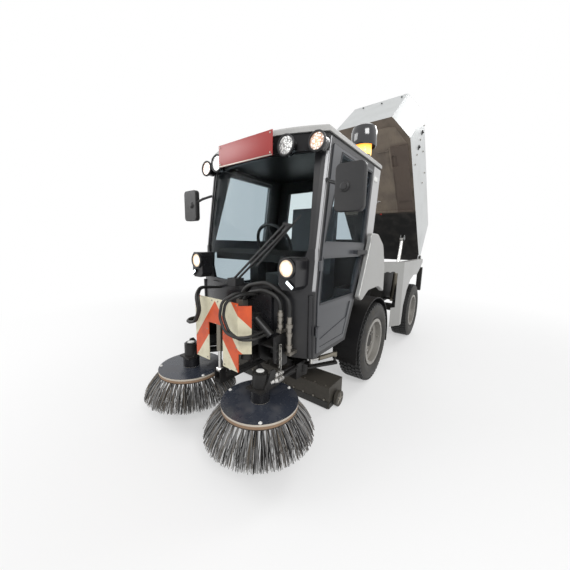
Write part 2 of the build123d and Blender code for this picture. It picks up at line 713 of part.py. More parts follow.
def brush_arm(side):
    """One swinging arm, from its rings on the carrier's pin to the motor on the brush."""
    low, high = carrier_z - carrier_half, carrier_z + carrier_half
    x, y = side * arm_pivot_x, arm_pivot_y
    rings = ((low - fit_gap - ring_height, low - fit_gap), (high + fit_gap, high + fit_gap + ring_height))
    arm = block(x - 30, x + 30, y - 120, y - 52, rings[0][0], rings[1][1])
    for ring_low, ring_high in rings:
        arm = arm + rod((x, y, ring_low), (x, y, ring_high), 40)
        arm = arm + block(x - 30, x + 30, y - 60, y, ring_low, ring_high)
        arm = arm - rod((x, y, ring_low - 1), (x, y, ring_high + 1), 16 + pin_gap)
    eye_x, eye_y = swing_eye
    lever = [
        (x, y - 26), (side * eye_x, eye_y - 18), (side * (eye_x + 18), eye_y), (side * eye_x, eye_y + 18),
        (x, y + 26),
    ]
    lever = plan_plate(lever, rings[1][0], rings[1][0] + 10)
    arm = arm + (lever - rod((x, y, low), (x, y, swing_z + 60), 16 + pin_gap))
    arm = arm + rod((x, y - 100, carrier_z), (side * (brush_x - 6), brush_y + 90, motor_seat + 20), 24)
    motor_x = side * brush_x
    seat = block(motor_x - 60, motor_x + 60, brush_y - 60, brush_y + 110, motor_seat, motor_seat + 14)
    arm = arm + seat + rod((motor_x, brush_y, motor_seat + 14), (motor_x, brush_y, motor_top), 48)
    arm = arm + rod((motor_x, brush_y, motor_top), (motor_x, brush_y, motor_top + 8), 38)
    cheek = [
        (brush_y - 20, motor_seat + 14), (brush_y + 98, motor_seat + 14), (brush_y + 92, motor_seat + 70),
        (brush_y + 60, motor_seat + 118), (brush_y + 30, motor_seat + 118),
    ]
    for across in (-60, 50):
        arm = arm + side_plate(cheek, motor_x + across, motor_x + across + 10)
    for start, end, radius in motor_pipes:
        start = (side * (brush_x + start[0]), brush_y + start[1], start[2])
        end = (side * (brush_x + end[0]), brush_y + end[1], end[2])
        arm = arm + rod(start, end, radius)
    return arm


def make_brush(side, side_name):
    x, y = side * brush_x, brush_y
    plate_low = plate_top - plate_thickness
    block_low = plate_low - block_thickness
    plate = rod((x, y, plate_low), (x, y, plate_top), plate_radius)
    hub = rod((x, y, plate_top), (x, y, motor_seat - fit_gap), 60)
    wood = rod((x, y, block_low), (x, y, plate_low), plate_radius - 2)
    nodes[f"brush_plate_{side_name}"] = plate + hub + wood
    ring = [
        (plate_radius - 70, block_low), (plate_radius - 8, block_low),
        (tip_radius, tip_height), (tip_radius - 80, tip_height),
    ]
    place = Plane(origin=(x, y, 0), x_dir=(1, 0, 0), z_dir=(0, -1, 0))
    bristles = revolve(place * Polygon(*ring, align=None), axis=Axis((x, y, 0), (0, 0, 1)), revolution_arc=360)
    nodes[f"brush_bristles_{side_name}"] = bristles


def make_brush_gear():
    make_carrier()
    for side_name, side in (("left", 1), ("right", -1)):
        pin_start = (side * (rail_outer - 2), lift_pivot_y, lift_pivot_z)
        pin_end = (side * (rail_outer + 42), lift_pivot_y, lift_pivot_z)
        nodes["front_frame"] = nodes["front_frame"] + rod(pin_start, pin_end, 12)
        nodes[f"brush_arm_{side_name}"] = brush_arm(side)
        make_brush(side, side_name)
        base = (side * swing_base[0], swing_base[1], swing_z)
        eye = (side * swing_eye[0], swing_eye[1], swing_z)
        barrel, shaft = hydraulic(base, eye, (0, 0, 1), 18, 9, 170, 75, 17, 19, 10)
        nodes[f"swing_barrel_{side_name}"] = barrel
        nodes[f"swing_rod_{side_name}"] = shaft
    barrel, shaft = hydraulic((0, *ram_base), (0, *ram_eye), (1, 0, 0), 22, 12, 245, 45, 19, 22, 10)
    nodes["ram_barrel"] = barrel
    nodes["ram_rod"] = shaft


board_y = -322.0


def make_board():
    outline = [
        (-215, 920), (215, 920), (215, 480), (72, 480), (72, 752), (-72, 752), (-72, 480), (-215, 480),
    ]
    board = front_plate(outline, board_y, board_y + 6)
    for side in (1, -1):
        wing = [
            (side * 213, board_y), (side * 215, board_y + 6),
            (side * 272, board_y + 62), (side * 276, board_y + 57),
        ]
        board = board + plan_plate(wing, 600, 905)
    # A bracket on the nose carries the board and the upper pin of the lift ram.
    arm = block(-60, 60, -176, -120, 770, 905)
    arm = arm + block(-40, 40, board_y + 6, -170, ram_base[1] + 44, ram_base[1] + 60)
    arm = arm - bowed(300, -110, -152, 0, 700, 990)
    for side in (1, -1):
        arm = arm + block(side * 23, side * 31, ram_base[0] - 20, -175, ram_base[1] - 20, ram_base[1] + 46)
    arm = arm + rod((-31, *ram_base), (31, *ram_base), 10)
    nodes["warning_board"] = board + arm


coupling_places = (
    # x, y, foot z, top z, radius
    (371.0, -104.0, 740.0, 868.0, 15.0),
    (432.0, -90.0, 600.0, 830.0, 16.0),
)
bulkhead_top = 905.0
arch_hose_radius = 14.0
arch_routes = (
    # points, bend radius
    (
        (
            (108.0, -174.0, 890.0), (150.0, -166.0, 960.0), (255.0, -140.0, 985.0),
            (371.0, -106.0, 945.0), (371.0, -104.0, 860.0),
        ),
        90.0,
    ),
    (
        (
            (76.0, -174.0, 890.0), (120.0, -166.0, 1000.0), (270.0, -128.0, 1035.0),
            (432.0, -92.0, 950.0), (432.0, -90.0, 822.0),
        ),
        110.0,
    ),
)
loop_hose_radius = 9.0
loop_bend = 68.0
loop_routes = (
    (
        (196.0, -120.0, 950.0), (196.0, -290.0, 965.0), (140.0, -352.0, 925.0), (118.0, -352.0, 830.0),
        (165.0, -352.0, 745.0), (260.0, -350.0, 712.0), (318.0, -300.0, 712.0), (318.0, -165.0, 711.0),
    ),
    (
        (174.0, -120.0, 952.0), (174.0, -311.0, 975.0), (134.0, -373.0, 931.0), (108.0, -373.0, 830.0),
        (158.0, -373.0, 742.0), (250.0, -371.0, 728.0), (300.0, -318.0, 729.0), (300.0, -170.0, 729.0),
    ),
)
duct_run = ((330.0, -150.0, 700.0), (225.0, -176.0, 800.0))
duct_radius = 30.0
chain_y = -150.0
chain_top = 655.0
chain_pitch = 26.0
chain_inside = 8.6
chain_wire = 6.0
chain_links = 6
chain_stub = 3.5


def nose_bracket():
    """Dark bracket plates below the nose, the duct that runs into them, and the chain's stub."""
    bracket = block(262, 398, -72, -60, 505, 715) + block(262, 398, -190, -60, 640, 652)
    cheek = [(-60, 505), (-125, 505), (-190, 550), (-190, 715), (-60, 715)]
    for x in (262, 386):
        bracket = bracket + side_plate(cheek, x, x + 12)
    tray = block(190, 264, -250, -120, 540, 600) - block(196, 300, -244, -126, 546, 610)
    duct = rod(*duct_run, duct_radius)
    neck = block(196, 240, -172, -60, 770, 830)
    cone = Pos(222, -255, 610) * Cone(40, 22, 100)
    stub = rod((397, chain_y, chain_top), (422, chain_y, chain_top), chain_stub)
    bracket = bracket + tray + duct + neck + cone + stub
    return bracket - cab_solid() - bowed(*nose_bow, 0, nose_bottom, nose_top)


def chain_link(x, y, z, turned_link):
    """A welded link whose inside is chain_pitch long."""
    half_width = chain_inside / 2 + chain_wire
    half_length = chain_pitch / 2 + chain_wire
    link = Box(2 * half_width, chain_wire, 2 * half_length)
    link = chamfer(link.edges().filter_by(Axis.Y), chain_wire * 0.7)
    link = link - Box(chain_inside, 2 * chain_wire, chain_pitch)
    return Pos(x, y, z) * Rot(0, 0, 90 if turned_link else 0) * link


def make_chain():
    links = []
    highest = chain_top + chain_stub + fit_gap - chain_pitch / 2
    for step in range(chain_links):
        z = highest - step * (chain_pitch - fit_gap)
        links.append(chain_link(409.5, chain_y, z, step % 2 == 0))
    nodes["chain"] = Compound(children=links)


def make_nose_gear():
    nodes["nose_bracket"] = pair(nose_bracket())
    couplings = []
    for x, y, foot, top, radius in coupling_places:
        piece = rod((x, y, foot), (x, y, top), radius)
        for share, collar in ((0.12, 6.0), (0.45, 5.0), (0.7, 7.0)):
            z = foot + share * (top - foot)
            piece = piece + rod((x, y, z), (x, y, z + 22), radius + collar)
        foot_block = block(x - 20, x + 20, y - 16, 40, foot - 20, foot + 1) - cab_solid()
        couplings = couplings + (piece + foot_block).solids()
    bulkhead = block(62, 124, -192, -120, 860, bulkhead_top) - bowed(*nose_bow, 0, nose_bottom, nose_top)
    nodes["couplings"] = Compound(children=[*couplings, *bulkhead.solids()])
    # Each hose is cut off flush where it meets its fittings.
    below_bulkhead = block(40, 150, -210, -120, 860, bulkhead_top + fit_gap)
    hoses = []
    for (route, bend), (x, y, foot, top, radius) in zip(arch_routes, coupling_places):
        below_coupling = block(x - 30, x + 30, y - 30, y + 30, foot, top + fit_gap)
        hose = bent_bar(route, bend, arch_hose_radius) - below_bulkhead - below_coupling
        hoses = hoses + hose.solids()
    nose = bowed(nose_bow[0], nose_bow[1] - fit_gap, nose_bow[2] - fit_gap, 0, nose_bottom, nose_top)
    duct = rod(*duct_run, duct_radius + fit_gap)
    for route in loop_routes:
        hose = bent_bar(route, loop_bend, loop_hose_radius) - nose - duct
        hoses = hoses + pair(hose.solids().sort_by(SortBy.VOLUME)[-1]).solids()
    nodes["front_hoses"] = Compound(children=hoses)


mouth_half = 520.0
mouth_front = 330.0
mouth_rear = 560.0
castor_radius = 62.0
mouth_clearance = 14.0
mouth_height = 176.0
mouth_wall = 14.0
duct_outer = 78.0
duct_bore = 70.0


def make_suction():
    hood_top = mouth_clearance + mouth_height
    hood = block(-mouth_half, mouth_half, mouth_front, mouth_rear, mouth_clearance, hood_top)
    room_x = mouth_half - mouth_wall
    room = block(-room_x, room_x, mouth_front + mouth_wall, mouth_rear - mouth_wall, 0, hood_top - mouth_wall)
    duct_y = (mouth_front + mouth_rear) / 2
    throat = rod((0, duct_y, hood_top - 1), (0, duct_y, rail_bottom + 60), duct_outer)
    bore = rod((0, duct_y, hood_top - 20), (0, duct_y, rail_bottom + 61), duct_bore)
    mouth = hood - room + throat - bore
    for side in (1, -1):
        x = side * (rail_inner + rail_outer) / 2
        for y in (mouth_front + 20, mouth_rear - 34):
            mouth = mouth + block(x - 15, x + 15, y, y + 14, hood_top - 1, rail_bottom)
        # A small wheel at each end keeps the mouth off the road.
        centre_z = castor_radius + 3
        inner, outer = side * (mouth_half + 14), side * (mouth_half + 40)
        mouth = mouth + rod((inner, duct_y, centre_z), (outer, duct_y, centre_z), castor_radius)
        mouth = mouth + rod((side * (mouth_half - 1), duct_y, centre_z), (inner, duct_y, centre_z), 12)
    nodes["suction_mouth"] = mouth


# Rear body

body_bottom = 305.0
rear_arch = (
    # y from the rear axle, z
    (-608.0, 200.0),
    (-608.0, 305.0),
    (-570.0, 542.0),
    (-448.0, 722.0),
    (-291.0, 841.0),
    (-110.0, 892.0),
    (107.0, 880.0),
    (305.0, 965.0),
)


def make_body_sides():
    plan = [
        (body_half, body_rear), (body_half, body_bend_y), (body_front_x, body_front_y),
        (body_front_x - body_wall, body_front_y + 4), (body_half - body_wall, body_bend_y + 2),
        (body_half - body_wall, body_rear),
    ]
    wall = plan_plate(plan, body_bottom, body_top)
    shelf_plan = [
        (body_half, body_rear), (body_half, body_bend_y), (body_front_x, body_front_y),
        (body_front_x - 40, body_front_y + 24), (body_half - 66, body_bend_y + 18),
        (body_half - 66, body_rear),
    ]
    wall = wall + plan_plate(shelf_plan, body_top - body_wall, body_top)
    arch = [(rear_axle_y + y, z) for y, z in rear_arch]
    arch = arch + [(body_rear - 20, 1030), (body_rear + 50, 1030), (body_rear + 50, 200)]
    wall = wall - side_plate(arch, body_half - 100, body_half + 50)
    opening = block(body_front_x - 50, 553, body_front_y - 60, body_bend_y - 74, 540, 960)
    foot = block(body_front_x - 50, 518, body_front_y - 60, body_bend_y - 100, body_bottom - 5, 541)
    wall = wall - opening - foot
    # Three round lobes scallop the opening's upper edge.
    for x in (430, 472, 514):
        wall = wall - rod((x, body_front_y - 100, 955), (x, body_bend_y, 955), 24)
    nodes["body_sides"] = pair(wall)


fender_inner_x = 566.0
fender_outer_x = 604.0
fender_corners = (
    # y, z, corner radius
    (602.0, 874.0, 14.0),
    (660.0, 834.0, 30.0),
    (800.0, 903.0, 160.0),
    (1070.0, 908.0, 160.0),
    (1222.0, 838.0, 14.0),
    (1204.0, 1080.0, 120.0),
    (1118.0, 1290.0, 100.0),
    (960.0, 1380.0, 90.0),
    (795.0, 1380.0, 40.0),
    (784.0, 1296.0, 60.0),
    (657.0, 985.0, 40.0),
)
fender_hollow = ((810.0, 960.0), (830.0, 1290.0), (900.0, 1320.0), (1040.0, 1240.0), (1120.0, 960.0))
fender_rounding = 12.0
liner_wall = 6.0
liner_radius = 420.0


def rounded(corners):
    """A (y, z) outline whose corners each have a radius of their own."""
    outline = Polygon(*[(y, z) for y, z, radius in corners], align=None)
    for y, z, radius in corners:
        vertex = outline.vertices().sort_by_distance((y, z))[0]
        outline = fillet(vertex, radius)
    return outline


def make_fenders():
    hump = side_sketch(rounded(fender_corners), fender_inner_x, fender_outer_x)
    outer_edges = hump.faces().sort_by(Axis.X)[-1].edges()
    hump = fillet(outer_edges, fender_rounding)
    hollow = side_plate(fender_hollow, fender_inner_x - 1, fender_outer_x - 10)
    hump = hump - hollow
    hump = hump + block(cab_half, fender_outer_x - 9, 860, 925, 1010, 1300)
    nodes["fenders"] = pair(hump)
    # The black liner arches over the tyre and carries the mudflap behind it.
    ring = Pos(front_axle_y, tyre_radius) * (Circle(liner_radius + liner_wall) - Circle(liner_radius))
    low_z = tyre_radius - 90
    keep = Polygon((640, low_z), (1700, low_z), (1700, 838), (900, 893), (640, 700), align=None)
    liner = extrude(Plane.YZ.offset(380) * (ring & keep), amount=218, dir=(1, 0, 0))
    liner_back = front_axle_y + liner_radius
    flap = block(392, 598, liner_back, liner_back + liner_wall, 262, tyre_radius + 10)
    stay = block(rail_outer + fit_gap, 392, liner_back - 60, liner_back + 5, 500, 520)
    nodes["wheel_liners"] = pair(liner + flap + stay)


def make_engine():
    low_y, high_y = rear_axle_y - 323, rear_axle_y + 257
    nodes["engine_block"] = block(-240, 240, low_y, high_y, rail_top, 930)


def raised(shape):
    return turned(shape, 0, hinge_y, hinge_z, (1, 0, 0), -tip_angle)


def rear_line(z):
    """The y of the hopper's sloping back at a height of the lowered hopper."""
    share = (z - hopper_floor_z) / (hopper_top_z - hopper_floor_z)
    return hopper_rear_low_y + share * (hopper_rear_high_y - hopper_rear_low_y)


def hopper_form(inset):
    """The lowered hopper's outside, drawn in by inset on every side."""
    half = hopper_half - inset
    front = hopper_front_y + inset
    cut_x = corner_cut_x - inset * 0.4
    cut_y = corner_cut_y - inset * 0.4
    low, high = hopper_floor_z + inset, hopper_top_z - inset
    back = hopper_rear_low_y + 100
    plan = [
        (-half, back), (-half, front + cut_y), (-half + cut_x, front), (half - cut_x, front),
        (half, front + cut_y), (half, back),
    ]
    form = plan_plate(plan, low, high)
    outside = [
        (rear_line(low - 50) - inset, low - 50), (rear_line(high + 50) - inset, high + 50),
        (back + 50, high + 50), (back + 50, low - 50),
    ]
    return form - side_plate(outside, -half - 50, half + 50)


lid_hinge = (hopper_rear_high_y + 42, hopper_top_z - 19)
lid_ear_x = 300.0
lid_pin = 7.0
floor_side_inset = 30.0
floor_front_inset = 100.0
floor_plate = 6.0
floor_end = hinge_y - 880
lift_eye_low = (hinge_y - 400, 1058.0)
duct_drop = 12.0
lift_x = 322.0
lift_eye_half = 24.0


def hopper_floor_form():
    """The plate under the hopper with its shallow air duct, drawn on the lowered hopper."""
    half = hopper_half - floor_side_inset
    front = hopper_front_y + floor_front_inset
    plan = [
        (-half, floor_end), (-half, front + 230), (-half + 120, front + 20), (-half + 190, front),
        (half - 190, front), (half - 120, front + 20), (half, front + 230), (half, floor_end),
    ]
    top = hopper_floor_z - fit_gap
    form = plan_plate(plan, top - floor_plate, top)
    duct = [
        (276, front + 230), (half, front + 230), (half, floor_end - 150), (310, floor_end - 150),
        (310, front + 560), (276, front + 470),
    ]
    form = form + plan_plate(duct, top - floor_plate - duct_drop, top - floor_plate + 1)
    pocket = [(300, front + 330), (360, front + 330), (360, front + 470), (300, front + 470)]
    form = form - plan_plate(pocket, top - floor_plate - duct_drop - 1, top - floor_plate)
    under = top - floor_plate
    handle = rod((150, front + 262, under - 8), (270, front + 262, under - 8), 5)
    for x in (150, 270):
        handle = handle + block(x - 6, x + 6, front + 256, front + 268, under - 10, under + 1)
    bar = block(-half, half, floor_end - 1, floor_end + 26, top - floor_plate - duct_drop, top)
    return form + handle + bar


def hopper_lugs():
    """The left pair of plates that the lift cylinder's eye sits between, under the floor."""
    y, z = lift_eye_low
    outline = [(y - 40, hopper_floor_z + 2), (y + 40, hopper_floor_z + 2), (y + 20, z - 8), (y - 20, z - 8)]
    inner = side_plate(outline, lift_x - lift_eye_half - 5, lift_x - lift_eye_half - 1)
    outer = side_plate(outline, lift_x + lift_eye_half + 1, lift_x + lift_eye_half + 5)
    return inner + outer


def hopper_ear():
    """The left ear with the trunnion that turns in the frame's post."""
    outline = [
        (hinge_y - 70, hopper_floor_z + 30), (hinge_y + 60, hopper_floor_z + 30),
        (hinge_y + 34, hinge_z - 4), (hinge_y + 14, hinge_z - 30),
        (hinge_y - 14, hinge_z - 30), (hinge_y - 34, hinge_z - 4),
    ]
    ear = side_plate(outline, hopper_half - 10, hopper_half)
    return ear + rod((hopper_half - 10, hinge_y, hinge_z), (post_out + 6, hinge_y, hinge_z), hinge_pin)


def lid_ear():
    """The left plate on the hopper's roof with the lid's pin."""
    y, z = lid_hinge
    outline = [
        (y - 110, hopper_top_z - 2), (y - 110, hopper_top_z + 8), (y - 6, z + 14), (y + 12, z),
        (y, z - 12), (y - 12, z),
    ]
    ear = side_plate(outline, lid_ear_x, lid_ear_x + 30)
    ear = ear + rod((lid_ear_x, y, z), (lid_ear_x + 30, y, z), 12)
    return ear + rod((lid_ear_x, y, z), (lid_ear_x + 76, y, z), lid_pin)


def make_hopper():
    mouth_low = hopper_floor_z + 60
    mouth_high = hopper_top_z - 40
    mouth_x = hopper_half - 40
    mouth = block(-mouth_x, mouth_x, hopper_rear_high_y - 60, hopper_rear_low_y + 60, mouth_low, mouth_high)
    shell = hopper_form(0) - hopper_form(hopper_wall) - mouth
    for part in both_sides(hopper_ear() + lid_ear() + hopper_lugs()):
        shell = shell + part
    nodes["hopper_shell"] = raised(shell)
    nodes["hopper_floor"] = raised(hopper_floor_form())
    low, high = mouth_low - 30, mouth_high + 12
    lid = side_plate([
        (rear_line(low) + fit_gap, low), (rear_line(high) + fit_gap, high),
        (rear_line(high) + 22, high), (rear_line(low) + 22, low),
    ], -hopper_half + 10, hopper_half - 10)
    y, z = lid_hinge
    for side in (1, -1):
        x_low, x_high = side * (lid_ear_x + 36), side * (lid_ear_x + 76)
        knuckle = rod((x_low, y, z), (x_high, y, z), 12)
        tab = block(x_low, x_high, rear_line(high) + 14, y, z - 18, z)
        knuckle = knuckle + tab - rod((x_low - side, y, z), (x_high + side, y, z), lid_pin + pin_gap)
        lid = lid + knuckle
    nodes["hopper_lid"] = raised(lid)


# Hydraulic cylinders

lift_base = (hinge_y - 565, 500.0)
steer_x = 120.0
steer_base_y = pivot_y - 340
steer_eye_y = pivot_y + 60
steer_z = 610.0


def tipped(y, z):
    """Where a point of the lowered hopper comes when the hopper is tipped."""
    angle = radians(tip_angle)
    dy, dz = y - hinge_y, z - hinge_z
    return hinge_y + dy * cos(angle) + dz * sin(angle), hinge_z - dy * sin(angle) + dz * cos(angle)


def make_cylinders():
    eye = tipped(*lift_eye_low)
    across, upright = (1, 0, 0), (0, 0, 1)
    base = (lift_x, *lift_base)
    barrel, shaft = hydraulic(base, (lift_x, *eye), across, 38, 24, 512, 390, 34, lift_eye_half, 16)
    nodes["lift_barrels"] = pair(barrel)
    nodes["lift_rods"] = pair(shaft)
    for side in (1, -1):
        pin = rod((side * 170, *lift_base), (side * (lift_x + lift_eye_half + 6), *lift_base), 16)
        nodes["rear_frame"] = nodes["rear_frame"] + pin
    base, eye = (steer_x, steer_base_y, steer_z), (steer_x, steer_eye_y, steer_z)
    barrel, shaft = hydraulic(base, eye, upright, 28, 15, 262, 130, 24, 29, 12)
    nodes["steer_barrel"] = barrel
    nodes["steer_rod"] = shaft
    base = rod((steer_x, steer_base_y, rail_top), (steer_x, steer_base_y, steer_z - 30), 30)
    pin = rod((steer_x, steer_base_y, rail_top), (steer_x, steer_base_y, steer_z + 34), 12)
    nodes["front_frame"] = nodes["front_frame"] + base + pin
    lug = block(steer_x - 26, steer_x + 26, steer_eye_y - 26, rear_rail_start + 40, steer_z - 46, steer_z - 30)
    foot = block(steer_x - 26, steer_x + 26, rear_rail_start, rear_rail_start + 40, rail_top - 2, steer_z - 30)
    nodes["rear_frame"] = nodes["rear_frame"] + lug + foot


make_wheels()
make_front_frame()
make_rear_frame()
make_cab()
make_roof()
make_doors()
make_cab_inside()
make_cab_front()
make_brush_gear()
make_board()
make_nose_gear()
make_chain()
make_suction()
make_body_sides()
make_fenders()
make_engine()
make_hopper()
make_cylinders()

os.makedirs("parts", exist_ok=True)
for name, shape in nodes.items():
    export_step(Pos(0, -origin_y, 0) * shape, f"parts/{name}.step")
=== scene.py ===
# %% [markdown]
# # A compact street sweeper
# The machine is a small articulated sweeper: a glazed cab on the front half, a tipping hopper on
# the rear half, and two round brushes on arms ahead of the cab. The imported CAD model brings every
# solid in its real place. This lesson gives each surface its finish, adds the fine parts that only
# show, such as tyre blocks, bolts and bristles, and then sets up the studio.

# %% Load the frame
import math
import random

import bmesh
import bpy
from mathutils import Matrix, Vector


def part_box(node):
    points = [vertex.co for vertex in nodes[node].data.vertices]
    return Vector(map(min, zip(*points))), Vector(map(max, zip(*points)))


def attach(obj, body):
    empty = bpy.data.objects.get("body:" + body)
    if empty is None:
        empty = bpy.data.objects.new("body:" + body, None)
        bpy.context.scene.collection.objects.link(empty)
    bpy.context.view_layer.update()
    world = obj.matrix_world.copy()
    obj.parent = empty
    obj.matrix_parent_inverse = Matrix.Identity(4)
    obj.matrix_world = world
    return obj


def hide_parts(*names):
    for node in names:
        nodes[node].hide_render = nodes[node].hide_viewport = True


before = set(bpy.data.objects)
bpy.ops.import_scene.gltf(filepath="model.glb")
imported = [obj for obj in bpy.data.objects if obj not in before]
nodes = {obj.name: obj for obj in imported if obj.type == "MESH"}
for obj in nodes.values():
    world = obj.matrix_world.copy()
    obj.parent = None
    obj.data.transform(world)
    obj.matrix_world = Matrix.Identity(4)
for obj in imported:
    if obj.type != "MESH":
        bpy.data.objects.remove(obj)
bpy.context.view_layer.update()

# %% [markdown]
# ## From the drawing to the scene
# The machine was drawn in millimetres, and the drawing counts along the length from the foot of the
# cab's front pillars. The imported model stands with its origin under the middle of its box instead.
# Both hold the front left tyre, so the middle of that tyre gives the shift, and one function turns
# any place on the drawing into a place in the scene. The machine's left is +X, and it drives to -Y.

# %% Places on the drawing, in millimetres
FRONT_AXLE_Y, REAR_AXLE_Y = 1063, 2683
AXLES = (("front", FRONT_AXLE_Y), ("rear", REAR_AXLE_Y))
WHEEL_X, WHEEL_Z = 503, 372
BRUSH_X, BRUSH_Y = 360, -277
SIDES = (("left", 1), ("right", -1))
tyre_low, tyre_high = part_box("tyre_front_left")
DRAWING_START = (tyre_low[1] + tyre_high[1]) / 2 - FRONT_AXLE_Y / 1000


def at(x, y, z):
    """A place measured in millimetres on the drawing, as a place in the scene."""
    return Vector((x / 1000, y / 1000 + DRAWING_START, z / 1000))


print("the drawing's zero line is at y =", round(DRAWING_START, 4))

# %% [markdown]
# ## Shader arithmetic
# A finish is a small calculation on the surface: where the noise is high there is dust, and where
# the height is low there is more of it. Writing that as wired nodes is slow to read, so one class
# wraps a socket and gives it Python's operators. Each operator adds the Math node that it stands
# for, and the material still holds ordinary nodes that anyone can open.

# %% A socket that can be added and multiplied
class Value:
    """A number that changes over the surface: one output socket of a material's nodes."""

    def __init__(self, finish, socket):
        self.finish = finish
        self.socket = socket

    def maths(self, operation, *others):
        """A Math node whose first value is this one."""
        values = {0: self}
        for place, other in enumerate(others, 1):
            values[place] = other
        return self.finish.node("ShaderNodeMath", {"operation": operation}, values)

    def __add__(self, other):
        return self.maths("ADD", other)

    def __mul__(self, other):
        return self.maths("MULTIPLY", other)

    def __sub__(self, other):
        return self.maths("SUBTRACT", other)

    def __rsub__(self, other):
        return self.finish.number(other).maths("SUBTRACT", self)

    __radd__ = __add__
    __rmul__ = __mul__

    def rises(self, low, high):
        """0 below low, 1 above high, and smooth between them."""
        settings = {"interpolation_type": "SMOOTHSTEP"}
        values = {"Value": self, "From Min": low, "From Max": high}
        return self.finish.node("ShaderNodeMapRange", settings, values)

    def falls(self, low, high):
        return 1.0 - self.rises(low, high)

    def both(self, other):
        return self.maths("MINIMUM", other)

    def either(self, other):
        return self.maths("MAXIMUM", other)


# %% A material that is written like a sum
class Finish:
    """A material: one Principled shader, and the nodes that feed it."""

    def __init__(self, name, colour, roughness=0.5, **fixed):
        self.material = bpy.data.materials.new(name)
        self.material.use_nodes = True
        self.tree = self.material.node_tree
        self.shader = self.tree.nodes["Principled BSDF"]
        self.set("Base Color", colour)
        self.set("Roughness", roughness)
        for socket, value in fixed.items():
            self.set(socket.replace("_", " "), value)
        self.place = self.node("ShaderNodeTexCoord", {}, {}, "Object")

    def set(self, name, value):
        socket = self.shader.inputs[name]
        if isinstance(value, Value):
            self.tree.links.new(value.socket, socket)
        elif hasattr(socket.default_value, "__len__") and len(value) == 3:
            socket.default_value = (*value, 1.0)
        else:
            socket.default_value = value
        return self

    def node(self, kind, settings, values, output=0):
        """Adds any node: its settings first, then the values or links of its sockets."""
        new = self.tree.nodes.new(kind)
        for key, setting in settings.items():
            setattr(new, key, setting)
        for key, value in values.items():
            socket = new.inputs[key]
            if isinstance(value, Value):
                self.tree.links.new(value.socket, socket)
            elif hasattr(value, "__len__") and len(value) == 3 and len(socket.default_value) == 4:
                socket.default_value = (*value, 1.0)
            else:
                socket.default_value = value
        return Value(self, new.outputs[output])

    def number(self, value):
        return self.node("ShaderNodeMath", {"operation": "ADD"}, {0: value, 1: 0.0})

    def axis(self, letter):
        """Where the surface is along X, Y or Z, in metres."""
        return self.node("ShaderNodeSeparateXYZ", {}, {0: self.place}, letter)

    def facing(self, letter):
        """How far the surface faces along X, Y or Z, from -1 to 1."""
        normal = self.node("ShaderNodeTexCoord", {}, {}, "Normal")
        return self.node("ShaderNodeSeparateXYZ", {}, {0: normal}, letter)

    def noise(self, size, detail=4.0, stretch=(1.0, 1.0, 1.0)):
        """Cloudy noise from 0 to 1 whose blotches are about that size in metres."""
        where = self.node("ShaderNodeVectorMath", {"operation": "MULTIPLY"},
                          {0: self.place, 1: stretch})
        return self.node("ShaderNodeTexNoise", {},
                         {"Vector": where, "Scale": 1.0 / size, "Detail": detail})

    def cells(self, size):
        """Distance from the middle of small random cells of that size in metres."""
        return self.node("ShaderNodeTexVoronoi", {},
                         {"Vector": self.place, "Scale": 1.0 / size})

    def mix(self, low, high, share):
        """Goes from the colour low to the colour high as share goes from 0 to 1."""
        settings = {"data_type": "RGBA"}
        return self.node("ShaderNodeMix", settings, {"Factor": share, 6: low, 7: high}, 2)

    def bump(self, height, distance, strength=1.0):
        values = {"Height": height, "Distance": distance, "Strength": strength}
        return self.set("Normal", self.node("ShaderNodeBump", {}, values))


def tell(finish):
    """Says what was made: the finish's name and how many nodes it holds."""
    print(finish.material.name, "has", len(finish.tree.nodes), "nodes")


# %% [markdown]
# ## Dirt that lies as it falls
# Road dust settles on faces that look up, gathers low down, and is thrown up behind the wheels.
# Every paint on the machine shares one layer of it, so that the pieces look as if they had worked
# together. The share of dust is a mix of slow clouds, fine specks and height above the road.

# %% A dust layer for any finish
DUST = (0.20, 0.18, 0.15)
WHEEL_TOP = 0.75


def dusty(finish, colour, amount=0.5, roughness=0.4, dust_roughness=0.85):
    """Colours a finish, with dust over it that is thickest low down and on top faces."""
    cloud = finish.noise(0.35, 6.0)
    fine = finish.noise(0.02, 3.0)
    low = finish.axis("Z").falls(0.1, WHEEL_TOP) * 0.3
    top = finish.facing("Z").rises(0.55, 1.0) * 0.2
    share = (cloud.rises(0.35, 0.8) * 0.3 + fine.rises(0.45, 0.8) * 0.15 + low + top) * amount
    finish.set("Base Color", finish.mix(colour, DUST, share))
    finish.set("Roughness", roughness + share * (dust_roughness - roughness))
    return finish


def painted(name, colour, amount=0.4, roughness=0.32, **fixed):
    finish = dusty(Finish(name, (0.5, 0.5, 0.5), **fixed), colour, amount, roughness)
    finish.bump(finish.noise(0.004, 2.0), 0.0006, 0.12)
    return finish.material


def plastic(name, colour, grain=0.0015, amount=0.4, roughness=0.55):
    finish = dusty(Finish(name, colour), colour, amount, roughness)
    finish.bump(finish.cells(grain), 0.0003, 0.35)
    return finish.material


def metal(name, colour, roughness=0.35, amount=0.35, metallic=1.0):
    finish = dusty(Finish(name, colour, Metallic=metallic), colour, amount, roughness)
    finish.bump(finish.noise(0.003, 2.0, (1.0, 1.0, 0.2)), 0.0003, 0.2)
    return finish.material


# %% [markdown]
# ## The machine's paints, plastics and metals
# The body is a light, slightly warm silver grey and the hopper a cleaner white silver. The cab is
# black round its glass, its doors are a blue charcoal, and its rear corners are silver. The brush
# gear is black paint that the brushes have dusted, with bare steel at the rods and couplings.

